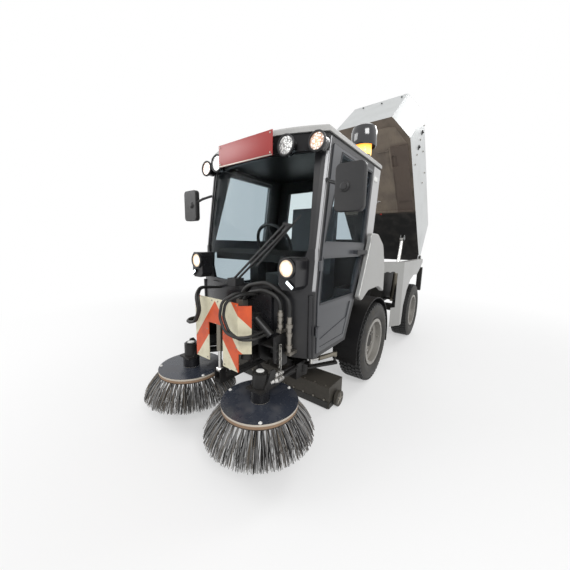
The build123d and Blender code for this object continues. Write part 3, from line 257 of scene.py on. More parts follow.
# %% Paints and metals
body_silver = painted("body_silver", (0.35, 0.35, 0.34), 0.35, 0.3, Metallic=0.25)
door_charcoal = painted("door_charcoal", (0.052, 0.055, 0.062), 0.2, 0.28)
nose_black = painted("nose_black", (0.009, 0.009, 0.011), 0.15, 0.25, Specular_IOR_Level=0.4)
satin_black = painted("satin_black", (0.006, 0.006, 0.007), 0.12, 0.4, Specular_IOR_Level=0.25)
gear_black = painted("gear_black", (0.007, 0.007, 0.008), 0.16, 0.36, Specular_IOR_Level=0.3)
roof_grey = painted("roof_grey", (0.40, 0.40, 0.39), 0.4, 0.45)
sign_red = painted("sign_red", (0.30, 0.028, 0.026), 0.1, 0.4)
chassis_black = painted("chassis_black", (0.010, 0.010, 0.010), 0.35, 0.55, Specular_IOR_Level=0.3)
grimy_steel = painted("grimy_steel", (0.030, 0.027, 0.022), 0.5, 0.5, Metallic=0.4)
black_plastic = plastic("black_plastic", (0.010, 0.010, 0.011), 0.0015, 0.12, 0.5)
black_rubber = plastic("black_rubber", (0.008, 0.008, 0.008), 0.003, 0.15, 0.5)
seat_cloth = plastic("seat_cloth", (0.10, 0.105, 0.11), 0.004, 0.1, 0.9)
bare_steel = metal("bare_steel", (0.62, 0.61, 0.59), 0.25)
worn_steel = metal("worn_steel", (0.30, 0.28, 0.25), 0.42, 0.6)
rim_steel = metal("rim_steel", (0.36, 0.35, 0.33), 0.42, 0.6, 0.5)
barrel_steel = metal("barrel_steel", (0.24, 0.22, 0.18), 0.4, 0.6)
chain_steel = metal("chain_steel", (0.55, 0.54, 0.51), 0.3, 0.2)
clear_white = painted("clear_white", (0.78, 0.78, 0.76), 0.1, 0.25)
signal_red = painted("signal_red", (0.42, 0.02, 0.015), 0.15, 0.3)
print("paints, plastics and metals made")

# %% [markdown]
# ## Two paints on one solid
# Some solids wear two paints. The cab's frame is black, but a bright strip runs up each front
# corner. The strip could be a piece of its own, but then its edge would have to follow the frame's
# bend. It is the only face that looks about 26 degrees outwards from straight ahead, so the way
# that the surface faces picks it out. The panel behind the doors is silver only on its outside, and
# the same kind of test finds that. Both tests read the surface itself, so the paint stays on the
# piece when it moves.

# %% The cab's frame
STRIP_SILVER = (0.42, 0.42, 0.43)
cab_frame_paint = Finish("cab_frame_paint", (0.01, 0.01, 0.012), 0.3)
side_face = cab_frame_paint.facing("X").maths("ABSOLUTE")
corner = side_face.rises(0.34, 0.38).both(side_face.falls(0.50, 0.54))
corner = corner.both(cab_frame_paint.facing("Y").falls(-0.86, -0.80))
corner = corner.both(cab_frame_paint.axis("Z").rises(0.985, 1.0))
corner = corner.both(cab_frame_paint.axis("X").maths("ABSOLUTE").rises(0.530, 0.532))
film = cab_frame_paint.noise(0.3, 6.0).rises(0.5, 0.9) * 0.12
black_part = cab_frame_paint.mix((0.011, 0.011, 0.013), DUST, film)
cab_frame_paint.set("Base Color", cab_frame_paint.mix(black_part, STRIP_SILVER, corner))
cab_frame_paint.set("Roughness", 0.38 - corner * 0.12)
cab_frame_paint.set("Metallic", corner * 0.7)
cab_frame_paint.bump(cab_frame_paint.noise(0.004, 2.0), 0.0005, 0.1)
tell(cab_frame_paint)

# %% The panel behind the doors
cab_rear_paint = Finish("cab_rear_paint", (0.4, 0.4, 0.4), 0.3)
outside = cab_rear_paint.facing("X").maths("ABSOLUTE").rises(0.8, 0.9)
outside = outside.both(cab_rear_paint.axis("X").maths("ABSOLUTE").rises(0.545, 0.547))
grime = cab_rear_paint.noise(0.3, 6.0).rises(0.4, 0.85) * 0.2
silver_part = cab_rear_paint.mix((0.48, 0.48, 0.48), DUST, grime)
cab_rear_paint.set("Base Color", cab_rear_paint.mix((0.014, 0.014, 0.016), silver_part, outside))
cab_rear_paint.set("Roughness", 0.4 - outside * 0.1)
cab_rear_paint.set("Metallic", outside * 0.25)
tell(cab_rear_paint)

# %% [markdown]
# ## The brushes' plates and wires
# Each brush hangs under a slate-coloured plate with a pale edge. Below the plate is a wooden ring that
# holds the wires, and it turns dark towards its foot. One solid holds the plate and the ring, and they lie
# one above the other, so the height tells them apart. The wires are of three kinds, grey, black and bronze,
# and each gets dirtier towards the road.

# %% The brushes' plates
WOOD_TOP, PLATE_TOP = 0.329, 0.341
HALF_MM = 0.0005
plate_paint = Finish("plate_paint", (0.03, 0.03, 0.04), 0.35)
height = plate_paint.axis("Z")
wood = height.falls(WOOD_TOP - HALF_MM, WOOD_TOP + HALF_MM)
ply = (height * 190.0).maths("FRACT").rises(0.3, 0.7) * 0.3 + plate_paint.noise(0.03, 5.0) * 0.5
wood_part = plate_paint.mix((0.20, 0.115, 0.065), (0.34, 0.24, 0.16), ply)
# The wood turns black towards the foot of the ring.
wood_part = plate_paint.mix((0.012, 0.010, 0.008), wood_part, height.rises(0.306, 0.314))
dust_patch = plate_paint.noise(0.12, 5.0).rises(0.45, 0.75) * 0.55
dust_patch = dust_patch + plate_paint.noise(0.012, 3.0).rises(0.5, 0.9) * 0.25
slate_part = plate_paint.mix((0.030, 0.035, 0.048), (0.085, 0.085, 0.09), dust_patch)
hub_part = height.rises(PLATE_TOP - HALF_MM, PLATE_TOP + HALF_MM)
slate_part = plate_paint.mix(slate_part, (0.012, 0.012, 0.014), hub_part)
edge = plate_paint.facing("Z").falls(0.4, 0.6).both(height.falls(PLATE_TOP - HALF_MM, PLATE_TOP))
edge = edge.both(height.rises(WOOD_TOP - 0.003, WOOD_TOP - 0.002))
coloured = plate_paint.mix(slate_part, wood_part, wood)
plate_paint.set("Base Color", plate_paint.mix(coloured, (0.50, 0.45, 0.38), edge))
plate_paint.set("Roughness", 0.24 + dust_patch * 0.4 + wood * 0.4)
plate_paint.bump(plate_paint.noise(0.006, 3.0), 0.0006, 0.15)
tell(plate_paint)


# %% The wires
def bristle(name, clean, dirt):
    """One kind of wire: its own colour near the hole, and more dirt towards the road."""
    wire = Finish(name, clean, 0.45)
    share = wire.axis("Z").falls(0.14, 0.30) * 0.35 + wire.noise(0.03, 3.0).rises(0.4, 0.7) * 0.35
    wire.set("Base Color", wire.mix(clean, dirt, share))
    wire.set("Roughness", 0.4 + share * 0.3)
    tell(wire)
    return wire.material


wire_grey = bristle("wire_grey", (0.24, 0.24, 0.24), (0.12, 0.11, 0.10))
wire_black = bristle("wire_black", (0.010, 0.010, 0.011), (0.03, 0.028, 0.025))
wire_bronze = bristle("wire_bronze", (0.15, 0.125, 0.095), (0.07, 0.06, 0.05))

# %% [markdown]
# ## The warning board's bands
# The board is cream with orange bands that lean down and outwards from the middle on both halves.
# The bands could be a picture, but a sum does it: the distance from the middle times the lean, plus
# the height, is the same all along the edge of a band. The absolute distance mirrors the pattern.
# Only the board's front carries it, and the back and edges are black.

# %% The striped board
BAND_LEAN = 1.3
LOW_BAND, LOW_BAND_END, HIGH_BAND = 0.757, 0.906, 1.121
BLUR = 0.001
STRIPED_FACE_Y = DRAWING_START - 0.2565
stripes = Finish("stripes", (0.8, 0.76, 0.6), 0.35)
slant = stripes.axis("X").maths("ABSOLUTE") * BAND_LEAN + stripes.axis("Z")
band = slant.rises(LOW_BAND - BLUR, LOW_BAND + BLUR)
band = band.both(slant.falls(LOW_BAND_END - BLUR, LOW_BAND_END + BLUR))
band = band.either(slant.rises(HIGH_BAND - BLUR, HIGH_BAND + BLUR))
sun_bleached = stripes.noise(0.05, 5.0)
cream = stripes.mix((0.66, 0.62, 0.46), (0.56, 0.51, 0.37), sun_bleached.rises(0.4, 0.8))
orange = stripes.mix((0.62, 0.085, 0.018), (0.50, 0.06, 0.016), sun_bleached.rises(0.4, 0.8))
face_on = stripes.axis("Y").falls(STRIPED_FACE_Y - 0.0003, STRIPED_FACE_Y + 0.0003)
bands = stripes.mix(cream, orange, band)
specks = stripes.noise(0.004, 2.0).rises(0.68, 0.74) * 0.6
bands = stripes.mix(bands, (0.12, 0.10, 0.08), specks)
stripes.set("Base Color", stripes.mix((0.014, 0.014, 0.016), bands, face_on))
stripes.bump(stripes.noise(0.003, 2.0), 0.0003, 0.1)
tell(stripes)

# %% [markdown]
# ## The hopper, bright outside, and black and amber-lit underneath
# The tipped hopper shows its underside, which hangs over the dusty deck when it is down. That face is black
# with splashes low down, and brown higher up, where the brown is painted amber light from the beacon on
# grey metal. It is the one face that looks down and forwards at once, so two tests of the surface's
# direction find it. The floor inside is brown all over, which is also painted amber light from the beacon,
# with a darker duct and streaks that run the way the dirt slides.

# %% The hopper's paint
hopper_paint = Finish("hopper_paint", (0.62, 0.64, 0.64), 0.28, Metallic=0.15)
grime = hopper_paint.noise(0.3, 6.0).rises(0.4, 0.85) * 0.12
shell_part = hopper_paint.mix((0.54, 0.56, 0.56), DUST, grime)
under = hopper_paint.facing("Z").falls(-0.62, -0.58).both(hopper_paint.facing("Y").falls(-0.74, -0.70))
splash = hopper_paint.noise(0.12, 6.0)
low_under = hopper_paint.mix((0.006, 0.006, 0.006), (0.03, 0.028, 0.025), splash.rises(0.4, 0.8))
# Higher up the underside is brown: painted amber light from the beacon on grey metal.
amber_lit_under = hopper_paint.mix((0.15, 0.12, 0.095), (0.09, 0.075, 0.06), splash.rises(0.4, 0.8))
under_part = hopper_paint.mix(low_under, amber_lit_under, hopper_paint.axis("Z").rises(1.72, 1.80))
hopper_paint.set("Base Color", hopper_paint.mix(shell_part, under_part, under))
hopper_paint.set("Roughness", 0.28 + under * 0.35 + grime)
hopper_paint.bump(hopper_paint.noise(0.02, 2.0), 0.0008, 0.06)
tell(hopper_paint)

# %% The hopper's floor
hopper_floor_grime_and_amber_glow = Finish("hopper_floor_grime_and_amber_glow", (0.2, 0.15, 0.1), 0.6)
clouds = hopper_floor_grime_and_amber_glow.noise(0.25, 6.0)
# The floor's browns are painted amber light from the beacon, and the clouds and streaks on them are grime.
amber_lit_floor = hopper_floor_grime_and_amber_glow.mix((0.19, 0.155, 0.12), (0.115, 0.095, 0.078), clouds.rises(0.35, 0.75))
duct = hopper_floor_grime_and_amber_glow.axis("X").rises(0.290, 0.300).both(hopper_floor_grime_and_amber_glow.axis("Z").falls(2.45, 2.50))
amber_lit_floor = hopper_floor_grime_and_amber_glow.mix(amber_lit_floor, (0.075, 0.055, 0.045), duct * 0.8)
streak = hopper_floor_grime_and_amber_glow.noise(0.015, 4.0, (1.0, 0.2, 0.2)).rises(0.5, 0.8) * 0.35
hopper_floor_grime_and_amber_glow.set("Base Color", hopper_floor_grime_and_amber_glow.mix(amber_lit_floor, (0.06, 0.045, 0.035), streak))
hopper_floor_grime_and_amber_glow.set("Roughness", 0.45 + clouds * 0.3)
hopper_floor_grime_and_amber_glow.bump(hopper_floor_grime_and_amber_glow.noise(0.01, 4.0), 0.001, 0.3)
tell(hopper_floor_grime_and_amber_glow)

# %% [markdown]
# ## Rubber with dusty walls
# Dust stays on a tyre's wall in faint rings and wears off the tread. The rings are a sine of the
# distance from the axle. Object coordinates are used, so the rings turn with the wheel. The front
# and the rear wheels have their axles at different places, so each pair has a finish of its own.


# %% The tyres' rubber
def tyre_rubber(name, axle_y):
    """Rubber whose walls are dusted in rings, darker and cleaner where the tread meets the road."""
    finish = Finish(name, (0.01, 0.01, 0.01), 0.7)
    across = finish.axis("Y") - axle_y
    up = finish.axis("Z") - WHEEL_Z / 1000
    radius = (across * across + up * up).maths("SQRT")
    wall = radius.falls(0.335, 0.36)
    rings = (radius * 120.0).maths("SINE").rises(0.0, 1.0) * 0.2
    dust = (finish.noise(0.06, 6.0).rises(0.35, 0.75) * 0.5 + rings * 0.4 + 0.1) * wall
    finish.set("Base Color", finish.mix((0.009, 0.009, 0.009), (0.075, 0.068, 0.058), dust))
    finish.set("Roughness", 0.55 + dust * 0.35)
    finish.bump(finish.noise(0.003, 3.0), 0.0006, 0.4)
    tell(finish)
    return finish.material


tyre_rubbers = {end: tyre_rubber(f"{end}_rubber", at(0, y, 0).y) for end, y in AXLES}

# %% [markdown]
# ## Glass and lamps
# The cab's glass is nearly clear. All the lamps are one solid's node, so the finish reads where it is: the
# head lamps glow warm white from the middle out, the outer roof lamps glow amber, the slanted bars below
# are cold white, and the inner roof lamps are unlit mirrors. The small cells stand for the cut facets of
# the reflectors behind the clear cover, which is the shader's coat. They dent the surface, and each cell is
# also painted bright in its middle and dark at its rim, a painted highlight on every facet.

# %% Glass
cab_pane = Finish("cab_pane", (0.80, 0.86, 0.87), 0.02, Transmission_Weight=1.0, IOR=1.05)
tinted_pane = Finish("tinted_pane", (0.50, 0.56, 0.60), 0.03, Transmission_Weight=1.0, IOR=1.05)
for pane in (cab_pane, tinted_pane):
    smear = pane.noise(0.2, 5.0).rises(0.45, 0.8)
    pane.set("Roughness", 0.015 + smear * 0.05)
    tell(pane)

# %% Where the lamps are, on the left side of the drawing
HEAD_LAMP = (442, -150, 1136)
INNER_ROOF_LAMP = (326, -28, 1867)
OUTER_ROOF_LAMP = (515, 20, 1867)


def around(finish, lamp):
    """How far the surface is, in metres, from a lamp's middle on either side of the machine."""
    across = finish.axis("X").maths("ABSOLUTE") - lamp[0] / 1000
    up = finish.axis("Z") - lamp[2] / 1000
    return (across * across + up * up).maths("SQRT")


# %% Lamps that are lit
lamp_face = Finish("lamp_face", (0.6, 0.6, 0.6), 0.12, Metallic=0.6, Coat_Weight=1.0)
facets = lamp_face.cells(0.012)
front = lamp_face.facing("Y").falls(-0.7, -0.6)
head = around(lamp_face, HEAD_LAMP).falls(0.050, 0.053)
head_core = around(lamp_face, HEAD_LAMP).falls(0.004, 0.050)
bar = lamp_face.axis("Z").falls(1.078, 1.082)
outer_roof = around(lamp_face, OUTER_ROOF_LAMP).falls(0.052, 0.054)
outer_core = around(lamp_face, OUTER_ROOF_LAMP).falls(0.0, 0.05)
glow = lamp_face.mix((0.0, 0.0, 0.0), (1.0, 0.62, 0.30), head * 0.35)
glow = lamp_face.mix(glow, (1.0, 0.90, 0.70), head_core)
glow = lamp_face.mix(glow, (0.85, 0.95, 1.0), bar)
glow = lamp_face.mix(glow, (0.55, 0.22, 0.06), outer_roof * (0.25 + outer_core * 0.6))
lamp_face.set("Emission Color", lamp_face.mix((0.0, 0.0, 0.0), glow, front))
lamp_face.set("Emission Strength", 2.0)
# Each facet cell is painted bright in its middle and dark at its rim: a painted highlight on the silver
# reflector.
reflector_and_glints = lamp_face.mix((0.62, 0.62, 0.60), (0.20, 0.20, 0.20), facets.rises(0.2, 0.9))
lamp_face.set("Base Color", lamp_face.mix((0.008, 0.008, 0.008), reflector_and_glints, front))
lamp_face.bump(facets, 0.004, 0.8)
tell(lamp_face)

# %% The beacon and the mirrors
amber_glow = Finish("amber_glow", (0.9, 0.42, 0.05), 0.2, Coat_Weight=0.5)
ribs = (amber_glow.axis("Z") * 260.0).maths("SINE")
glow_height = amber_glow.axis("Z").falls(2.03, 2.11)
amber_glow.set("Emission Color", amber_glow.mix((1.0, 0.25, 0.02), (1.0, 0.60, 0.16), glow_height))
amber_glow.set("Emission Strength", 2.2)
amber_glow.bump(ribs, 0.001, 0.5)
tell(amber_glow)
beacon_black = painted("beacon_black", (0.008, 0.008, 0.010), 0.05, 0.12, Coat_Weight=0.8)
mirror_silver = metal("mirror_silver", (0.85, 0.87, 0.88), 0.05, 0.05)

# %% [markdown]
# ## Dressing the solids
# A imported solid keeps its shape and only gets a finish. A table says which finish each one wears,
# so that a solid without one is easy to find, and the last line prints any that was missed.

# %% Which finish each node wears
WORN = (
    (body_silver, "body_sides fenders"),
    (hopper_paint.material, "hopper_shell hopper_lid"),
    (hopper_floor_grime_and_amber_glow.material, "hopper_floor"),
    (cab_frame_paint.material, "cab_frame"),
    (cab_rear_paint.material, "cab_rear_panel"),
    (door_charcoal, "door_left door_right"),
    (nose_black, "nose_panel"),
    (satin_black, "roof_header dashboard wheel_liners"),
    (seat_cloth, "seat"),
    (gear_black, "brush_carrier brush_arm_left brush_arm_right nose_bracket"),
    (grimy_steel, "suction_mouth"),
    (plate_paint.material, "brush_plate_left brush_plate_right"),
    (roof_grey, "cab_roof"),
    (sign_red, "roof_sign"),
    (chassis_black, "front_frame rear_frame engine_block"),
    (black_plastic, "mirrors wiper steering_wheel"),
    (beacon_black, "beacon_cap"),
    (black_rubber, "front_hoses tyre_front_left tyre_front_right tyre_rear_left tyre_rear_right"),
    (worn_steel, "couplings"),
    (chain_steel, "chain"),
    (bare_steel, "lift_rods steer_rod ram_rod swing_rod_left swing_rod_right"),
    (rim_steel, "rim_front_left rim_front_right rim_rear_left rim_rear_right"),
    (barrel_steel, "lift_barrels steer_barrel ram_barrel swing_barrel_left swing_barrel_right"),
    (cab_pane.material, "cab_glass"),
    (tinted_pane.material, "door_glass_left door_glass_right"),
    (lamp_face.material, "lamps"),
    (amber_glow.material, "beacon_lens"),
    (wire_black, "brush_bristles_left brush_bristles_right"),
    (stripes.material, "warning_board"),
)
dressed = set()
for material, names in WORN:
    for name in names.split():
        nodes[name].data.materials.clear()
        nodes[name].data.materials.append(material)
        dressed.add(name)
print("nodes without a finish:", sorted(set(nodes) - dressed))

# %% [markdown]
# ## Tools for the fine parts
# Each fine part is a bmesh that starts as one of Blender's own shapes or as a short outline, and
# spin, inset, extrude and bevel give it its form. A few short functions cover nearly all of them.
# Every part keeps its place in its mesh, its object stays at the origin, and it rides on the body
# that carries it, so that it follows the doors, brushes and wheels when they move.


# %% Blocks and rods
def along(place, way):
    """A matrix that stands a shape made along Z on a place, pointing a given way."""
    turn = Vector(way).to_track_quat("Z", "Y").to_matrix().to_4x4()
    return Matrix.Translation(place) @ turn


def bevel(mesh, edges, width, segments=2):
    """Rounds edges by a width."""
    bmesh.ops.bevel(mesh, geom=edges, offset=width, offset_type="OFFSET", affect="EDGES",
                    segments=segments, profile=0.5, material=-1)


def add_block(mesh, low, high, edge=0.0, turn=None):
    """A block between two corners, with rounded edges, turned about its middle."""
    low, high = Vector(low), Vector(high)
    matrix = Matrix.Translation((low + high) / 2)
    if turn is not None:
        matrix = matrix @ turn
    matrix = matrix @ Matrix.Diagonal((*(high - low), 1.0))
    made = bmesh.ops.create_cube(mesh, size=1.0, matrix=matrix)
    if edge > 0.0:
        bevel(mesh, list({line for vert in made["verts"] for line in vert.link_edges}), edge)


def add_rod(mesh, start, end, radius, end_radius=None, sides=16):
    """A rod or cone between two places, and the vertices it is made of."""
    start, end = Vector(start), Vector(end)
    matrix = along((start + end) / 2, end - start)
    second = radius if end_radius is None else end_radius
    made = bmesh.ops.create_cone(mesh, cap_ends=True, segments=sides, radius1=radius, radius2=second,
                                 depth=(end - start).length, matrix=matrix)
    return made["verts"]


# %% Turned shapes and frames
def join(mesh, part, matrix):
    """Moves a small finished mesh by a matrix and adds it to a larger one."""
    bmesh.ops.transform(part, matrix=matrix, verts=part.verts)
    data = bpy.data.meshes.new("part")
    part.to_mesh(data)
    part.free()
    mesh.from_mesh(data)
    bpy.data.meshes.remove(data)


def add_turned(mesh, outline, matrix, steps=40, closed=False):
    """Spins an outline of (radius, height) in millimetres round Z, and puts it in its place."""
    part = bmesh.new()
    verts = [part.verts.new((radius / 1000, 0.0, height / 1000)) for radius, height in outline]
    lines = [part.edges.new(pair) for pair in zip(verts, verts[1:])]
    if closed:
        lines.append(part.edges.new((verts[-1], verts[0])))
    bmesh.ops.spin(part, geom=verts + lines, cent=(0, 0, 0), axis=(0, 0, 1), dvec=(0, 0, 0),
                   angle=2 * math.pi, steps=steps, use_merge=True, use_duplicate=False)
    bmesh.ops.remove_doubles(part, verts=part.verts, dist=0.00001)
    join(mesh, part, matrix)


def add_frame(mesh, corners, width, depth):
    """A flat ring that follows an outline: the outline is inset, and its rim gets a depth."""
    part = bmesh.new()
    face = part.faces.new([part.verts.new(corner) for corner in corners])
    bmesh.ops.inset_region(part, faces=[face], thickness=width, use_boundary=True,
                           use_even_offset=True)
    bmesh.ops.delete(part, geom=[face], context="FACES_ONLY")
    made = bmesh.ops.extrude_face_region(part, geom=part.faces[:])
    moved = [item for item in made["geom"] if isinstance(item, bmesh.types.BMVert)]
    bmesh.ops.translate(part, vec=Vector(depth), verts=moved)
    join(mesh, part, Matrix.Identity(4))


# %% From a bmesh to a piece of the machine
def make_piece(name, mesh, material, body, replaced=(), smooth=35.0):
    """Turns a bmesh into a piece that rides on a body, and stands for the nodes it replaces."""
    bmesh.ops.recalc_face_normals(mesh, faces=mesh.faces)
    data = bpy.data.meshes.new(name)
    mesh.to_mesh(data)
    mesh.free()
    data.materials.append(material)
    data.shade_smooth()
    data.set_sharp_from_angle(angle=math.radians(smooth))
    piece = bpy.data.objects.new(name, data)
    bpy.context.scene.collection.objects.link(piece)
    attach(piece, body)
    for node in replaced:
        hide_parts(node)
    print(name, len(data.polygons), "faces")
    return piece

# %% [markdown]
# ## Tyres with a block tread
# A tyre is a turned shape: one outline of its wall, shoulder and crown is spun round the axle. The
# tread is a pattern that repeats, so one pitch of seven small blocks is made, and spin copies it
# fifty times round. Each wall has a fine raised ring, as every road tyre has.

# %% The tyre's outline
WALL_AND_SHOULDER = (
    # radius, distance from the wheel's middle
    (205, 80), (222, 87), (240, 99), (264, 109), (290, 112.3), (299, 113), (304, 111.3),
    (318, 110.3), (338, 104), (352, 96), (362, 87), (362.5, 60),
)
CROWN_RADIUS = 363
TYRE_OUTLINE = [(radius, -out) for radius, out in WALL_AND_SHOULDER]
TYRE_OUTLINE += [(CROWN_RADIUS, 0), *reversed(WALL_AND_SHOULDER)]
print("the tyre's outline has", len(TYRE_OUTLINE), "points")

# %% The tread, in metres
PITCHES = 50
BLOCK_ROWS, SHOULDER_ROWS = (-0.070, -0.035, 0.0, 0.035, 0.070), (-0.0925, 0.0925)
BLOCK_HALF_LENGTH, BLOCK_HALF_WIDTH = 0.0165, 0.014
BLOCK_FOOT, BLOCK_TOP = 0.360, 0.3713
BLOCK_SHIFT, BLOCK_SKEW = 0.006, 14


def add_tread(part):
    """One pitch of the tread, then its copies round the wheel."""
    for row, middle in enumerate(BLOCK_ROWS):
        way = 1 if row % 2 else -1
        shift = way * BLOCK_SHIFT
        skew = Matrix.Rotation(math.radians(way * BLOCK_SKEW), 4, "X")
        add_block(part, (BLOCK_FOOT, shift - BLOCK_HALF_LENGTH, middle - BLOCK_HALF_WIDTH),
                  (BLOCK_TOP, shift + BLOCK_HALF_LENGTH, middle + BLOCK_HALF_WIDTH), 0.0, skew)
    for middle in SHOULDER_ROWS:
        add_block(part, (0.346, -0.014, middle - 0.006), (0.366, 0.014, middle + 0.006))
    bmesh.ops.spin(part, geom=part.verts[:] + part.edges[:] + part.faces[:], cent=(0, 0, 0),
                   axis=(0, 0, 1), dvec=(0, 0, 0), angle=2 * math.pi * (PITCHES - 1) / PITCHES,
                   steps=PITCHES - 1, use_merge=False, use_duplicate=True)


# %% The four tyres
for end, y in AXLES:
    for side_name, side in SIDES:
        wheel = bmesh.new()
        place = along(at(side * WHEEL_X, y, WHEEL_Z), (side, 0, 0))
        add_turned(wheel, TYRE_OUTLINE, place, 72, closed=True)
        tread = bmesh.new()
        add_tread(tread)
        join(wheel, tread, place)
        make_piece(f"treaded_tyre_{end}_{side_name}", wheel, tyre_rubbers[end],
                   f"wheel_{end}_{side_name}", [f"tyre_{end}_{side_name}"], 30.0)

# %% [markdown]
# ## Wheel nuts
# Six hexagon nuts on thick washers hold each wheel, on a circle about the axle, and the valve's
# stem stands out beside them. A nut is a short cone with six sides, and a loop sets them round.

# %% Wheel nuts and valve
NUTS, NUT_CIRCLE, NUT_FACE_X = 6, 102.5, 529
VALVE_X, VALVE_CIRCLE = 560, 186
for end, y in AXLES:
    for side_name, side in SIDES:
        nuts = bmesh.new()
        out = Vector((side, 0, 0))
        for step in range(NUTS):
            angle = math.radians(30 + 360 / NUTS * step)
            place = at(side * NUT_FACE_X, y + NUT_CIRCLE * math.cos(angle),
                       WHEEL_Z + NUT_CIRCLE * math.sin(angle))
            add_rod(nuts, place - out * 0.001, place + out * 0.003, 0.019, sides=24)
            add_rod(nuts, place + out * 0.003, place + out * 0.017, 0.0155, 0.0150, 6)
        valve = at(side * VALVE_X, y + VALVE_CIRCLE, WHEEL_Z)
        add_rod(nuts, valve, valve + Vector((side * 0.030, -0.010, 0)), 0.004, 0.003, 10)
        make_piece(f"wheel_nuts_{end}_{side_name}", nuts, bare_steel, f"wheel_{end}_{side_name}")

# %% [markdown]
# ## Brushes of single strands
# A disc brush has rows of holes in its wooden ring, with a tuft of stiff flat wires in each. Every
# strand here is one tapered three-sided cone from its hole to a point near the road. Its long
# edges are then divided and its middle is pushed outwards, so that it bends as wire under its own
# spring does. The seed is fixed, so that the brush is the same each time.

# %% The rows of tufts, in millimetres
TUFT_ROWS = (
    # hole radius, tufts, strands a tuft, tip radius, tip height
    (226, 56, 12, 326, 140),
    (214, 50, 9, 300, 138),
    (200, 40, 6, 264, 140),
)
HOLE_Z, REACH_LIMIT = 308, 334
WIRES = (wire_grey, wire_black, wire_bronze)
WIRE_SHARES = (0, 0, 0, 1, 1, 2)


def add_strand(mesh, middle, chance, hole_angle, row):
    """One wire of a random kind, from its hole to a point near the road."""
    hole_radius, _, _, tip_radius, tip_height = row
    angle = hole_angle + chance.uniform(-0.012, 0.012)
    fan = angle + chance.gauss(0.0, 0.045)
    reach = min(tip_radius + chance.gauss(0.0, 9.0), REACH_LIMIT)
    low = tip_height + abs(chance.gauss(0.0, 9.0))
    foot = hole_radius + chance.uniform(-4, 4)
    start = middle + Vector((foot * math.cos(angle), foot * math.sin(angle), HOLE_Z)) / 1000
    end = middle + Vector((reach * math.cos(fan), reach * math.sin(fan), low)) / 1000
    made = add_rod(mesh, start, end, 0.0025, 0.0015, 3)
    kind = chance.choice(WIRE_SHARES)
    for face in {face for vert in made for face in vert.link_faces}:
        face.material_index = kind


# %% The bend of the wires, in metres
LONG_EDGE, FALL, BULGE = 0.05, 0.17, 0.016


def bend_strands(mesh, middle):
    """Divides the long edges of the wires and pushes their middles outwards."""
    long_lines = [line for line in mesh.edges if line.calc_length() > LONG_EDGE]
    bmesh.ops.subdivide_edges(mesh, edges=long_lines, cuts=2)
    for vert in mesh.verts:
        fall = min(max((HOLE_Z / 1000 - vert.co.z) / FALL, 0.0), 1.0)
        outwards = (vert.co - middle) * Vector((1, 1, 0))
        vert.co += outwards.normalized() * BULGE * 4 * fall * (1 - fall)


# %% Both brushes
for side_name, side in SIDES:
    strands = bmesh.new()
    chance = random.Random(11 if side > 0 else 12)
    middle = at(side * BRUSH_X, BRUSH_Y, 0)
    for row in TUFT_ROWS:
        tufts, strands_a_tuft = row[1:3]
        for tuft in range(tufts):
            for _ in range(strands_a_tuft):
                add_strand(strands, middle, chance, 2 * math.pi * tuft / tufts, row)
    bend_strands(strands, middle)
    piece = make_piece(f"bristle_strands_{side_name}", strands, WIRES[0], f"brush_{side_name}",
                       [f"brush_bristles_{side_name}"])
    for wire in WIRES[1:]:
        piece.data.materials.append(wire)

# %% [markdown]
# ## Small parts of the brush gear
# Three bright bolts hold each plate, and the right plate is the mirror image of the left. The motor
# above it has a bare pale cap, and the bright ends of its hoses are crimped, which shows as collars
# of different widths along each end. The bolts turn with the brush, and the cap and the hose ends
# stay with the arm, so they are different pieces.

# %% Bolts and hose ends
BOLT_ANGLES, BOLT_CIRCLE, BOLT_FOOT = (-47, 73, 193), 0.221, 0.340
HOSE_ENDS = (
    # start and end from the brush's axis in millimetres, radius in metres
    ((36, 8, 448), (66, 84, 448), 0.0150),
    ((34, 24, 482), (52, 96, 478), 0.0140),
    ((66, 84, 448), (52, 144, 438), 0.0155),
    ((52, 96, 478), (40, 156, 466), 0.0145),
)
COLLARS = (
    # where it starts and ends along the hose end, and how much wider it is
    (0.02, 0.30, 1.0), (0.34, 0.40, 1.25), (0.44, 0.66, 1.08), (0.70, 0.97, 1.3),
)


def add_plate_bolts(mesh, middle, side):
    """Three bolts on washers round the plate."""
    for degrees in BOLT_ANGLES:
        angle = math.radians(degrees if side > 0 else 180 - degrees)
        place = middle + Vector((BOLT_CIRCLE * math.cos(angle), BOLT_CIRCLE * math.sin(angle), BOLT_FOOT))
        add_rod(mesh, place, place + Vector((0, 0, 0.002)), 0.011, sides=20)
        add_rod(mesh, place, place + Vector((0, 0, 0.008)), 0.0075, 0.006, 8)


def add_hose_ends(mesh, middle, side):
    """The crimped steel ends of the motor's hoses."""
    for (x0, y0, z0), (x1, y1, z1), radius in HOSE_ENDS:
        start = middle + Vector((side * x0, y0, z0)) / 1000
        end = middle + Vector((side * x1, y1, z1)) / 1000
        for low, high, grow in COLLARS:
            add_rod(mesh, start.lerp(end, low), start.lerp(end, high), radius * grow, sides=12)


# %% Bolts, caps and hose ends on both brushes
CAP_OUTLINE = ((0, 523.0), (25, 523.0), (25, 524.6), (22, 526.0), (0, 526.4))
for side_name, side in SIDES:
    middle = at(side * BRUSH_X, BRUSH_Y, 0)
    bolts = bmesh.new()
    add_plate_bolts(bolts, middle, side)
    make_piece(f"plate_bolts_{side_name}", bolts, clear_white, f"brush_{side_name}")
    cap = bmesh.new()
    add_turned(cap, CAP_OUTLINE, Matrix.Translation(middle), 32)
    make_piece(f"motor_cap_{side_name}", cap, clear_white, f"brush_arm_{side_name}")
    ends = bmesh.new()
    add_hose_ends(ends, middle, side)
    make_piece(f"hose_ends_{side_name}", ends, bare_steel, f"brush_arm_{side_name}")

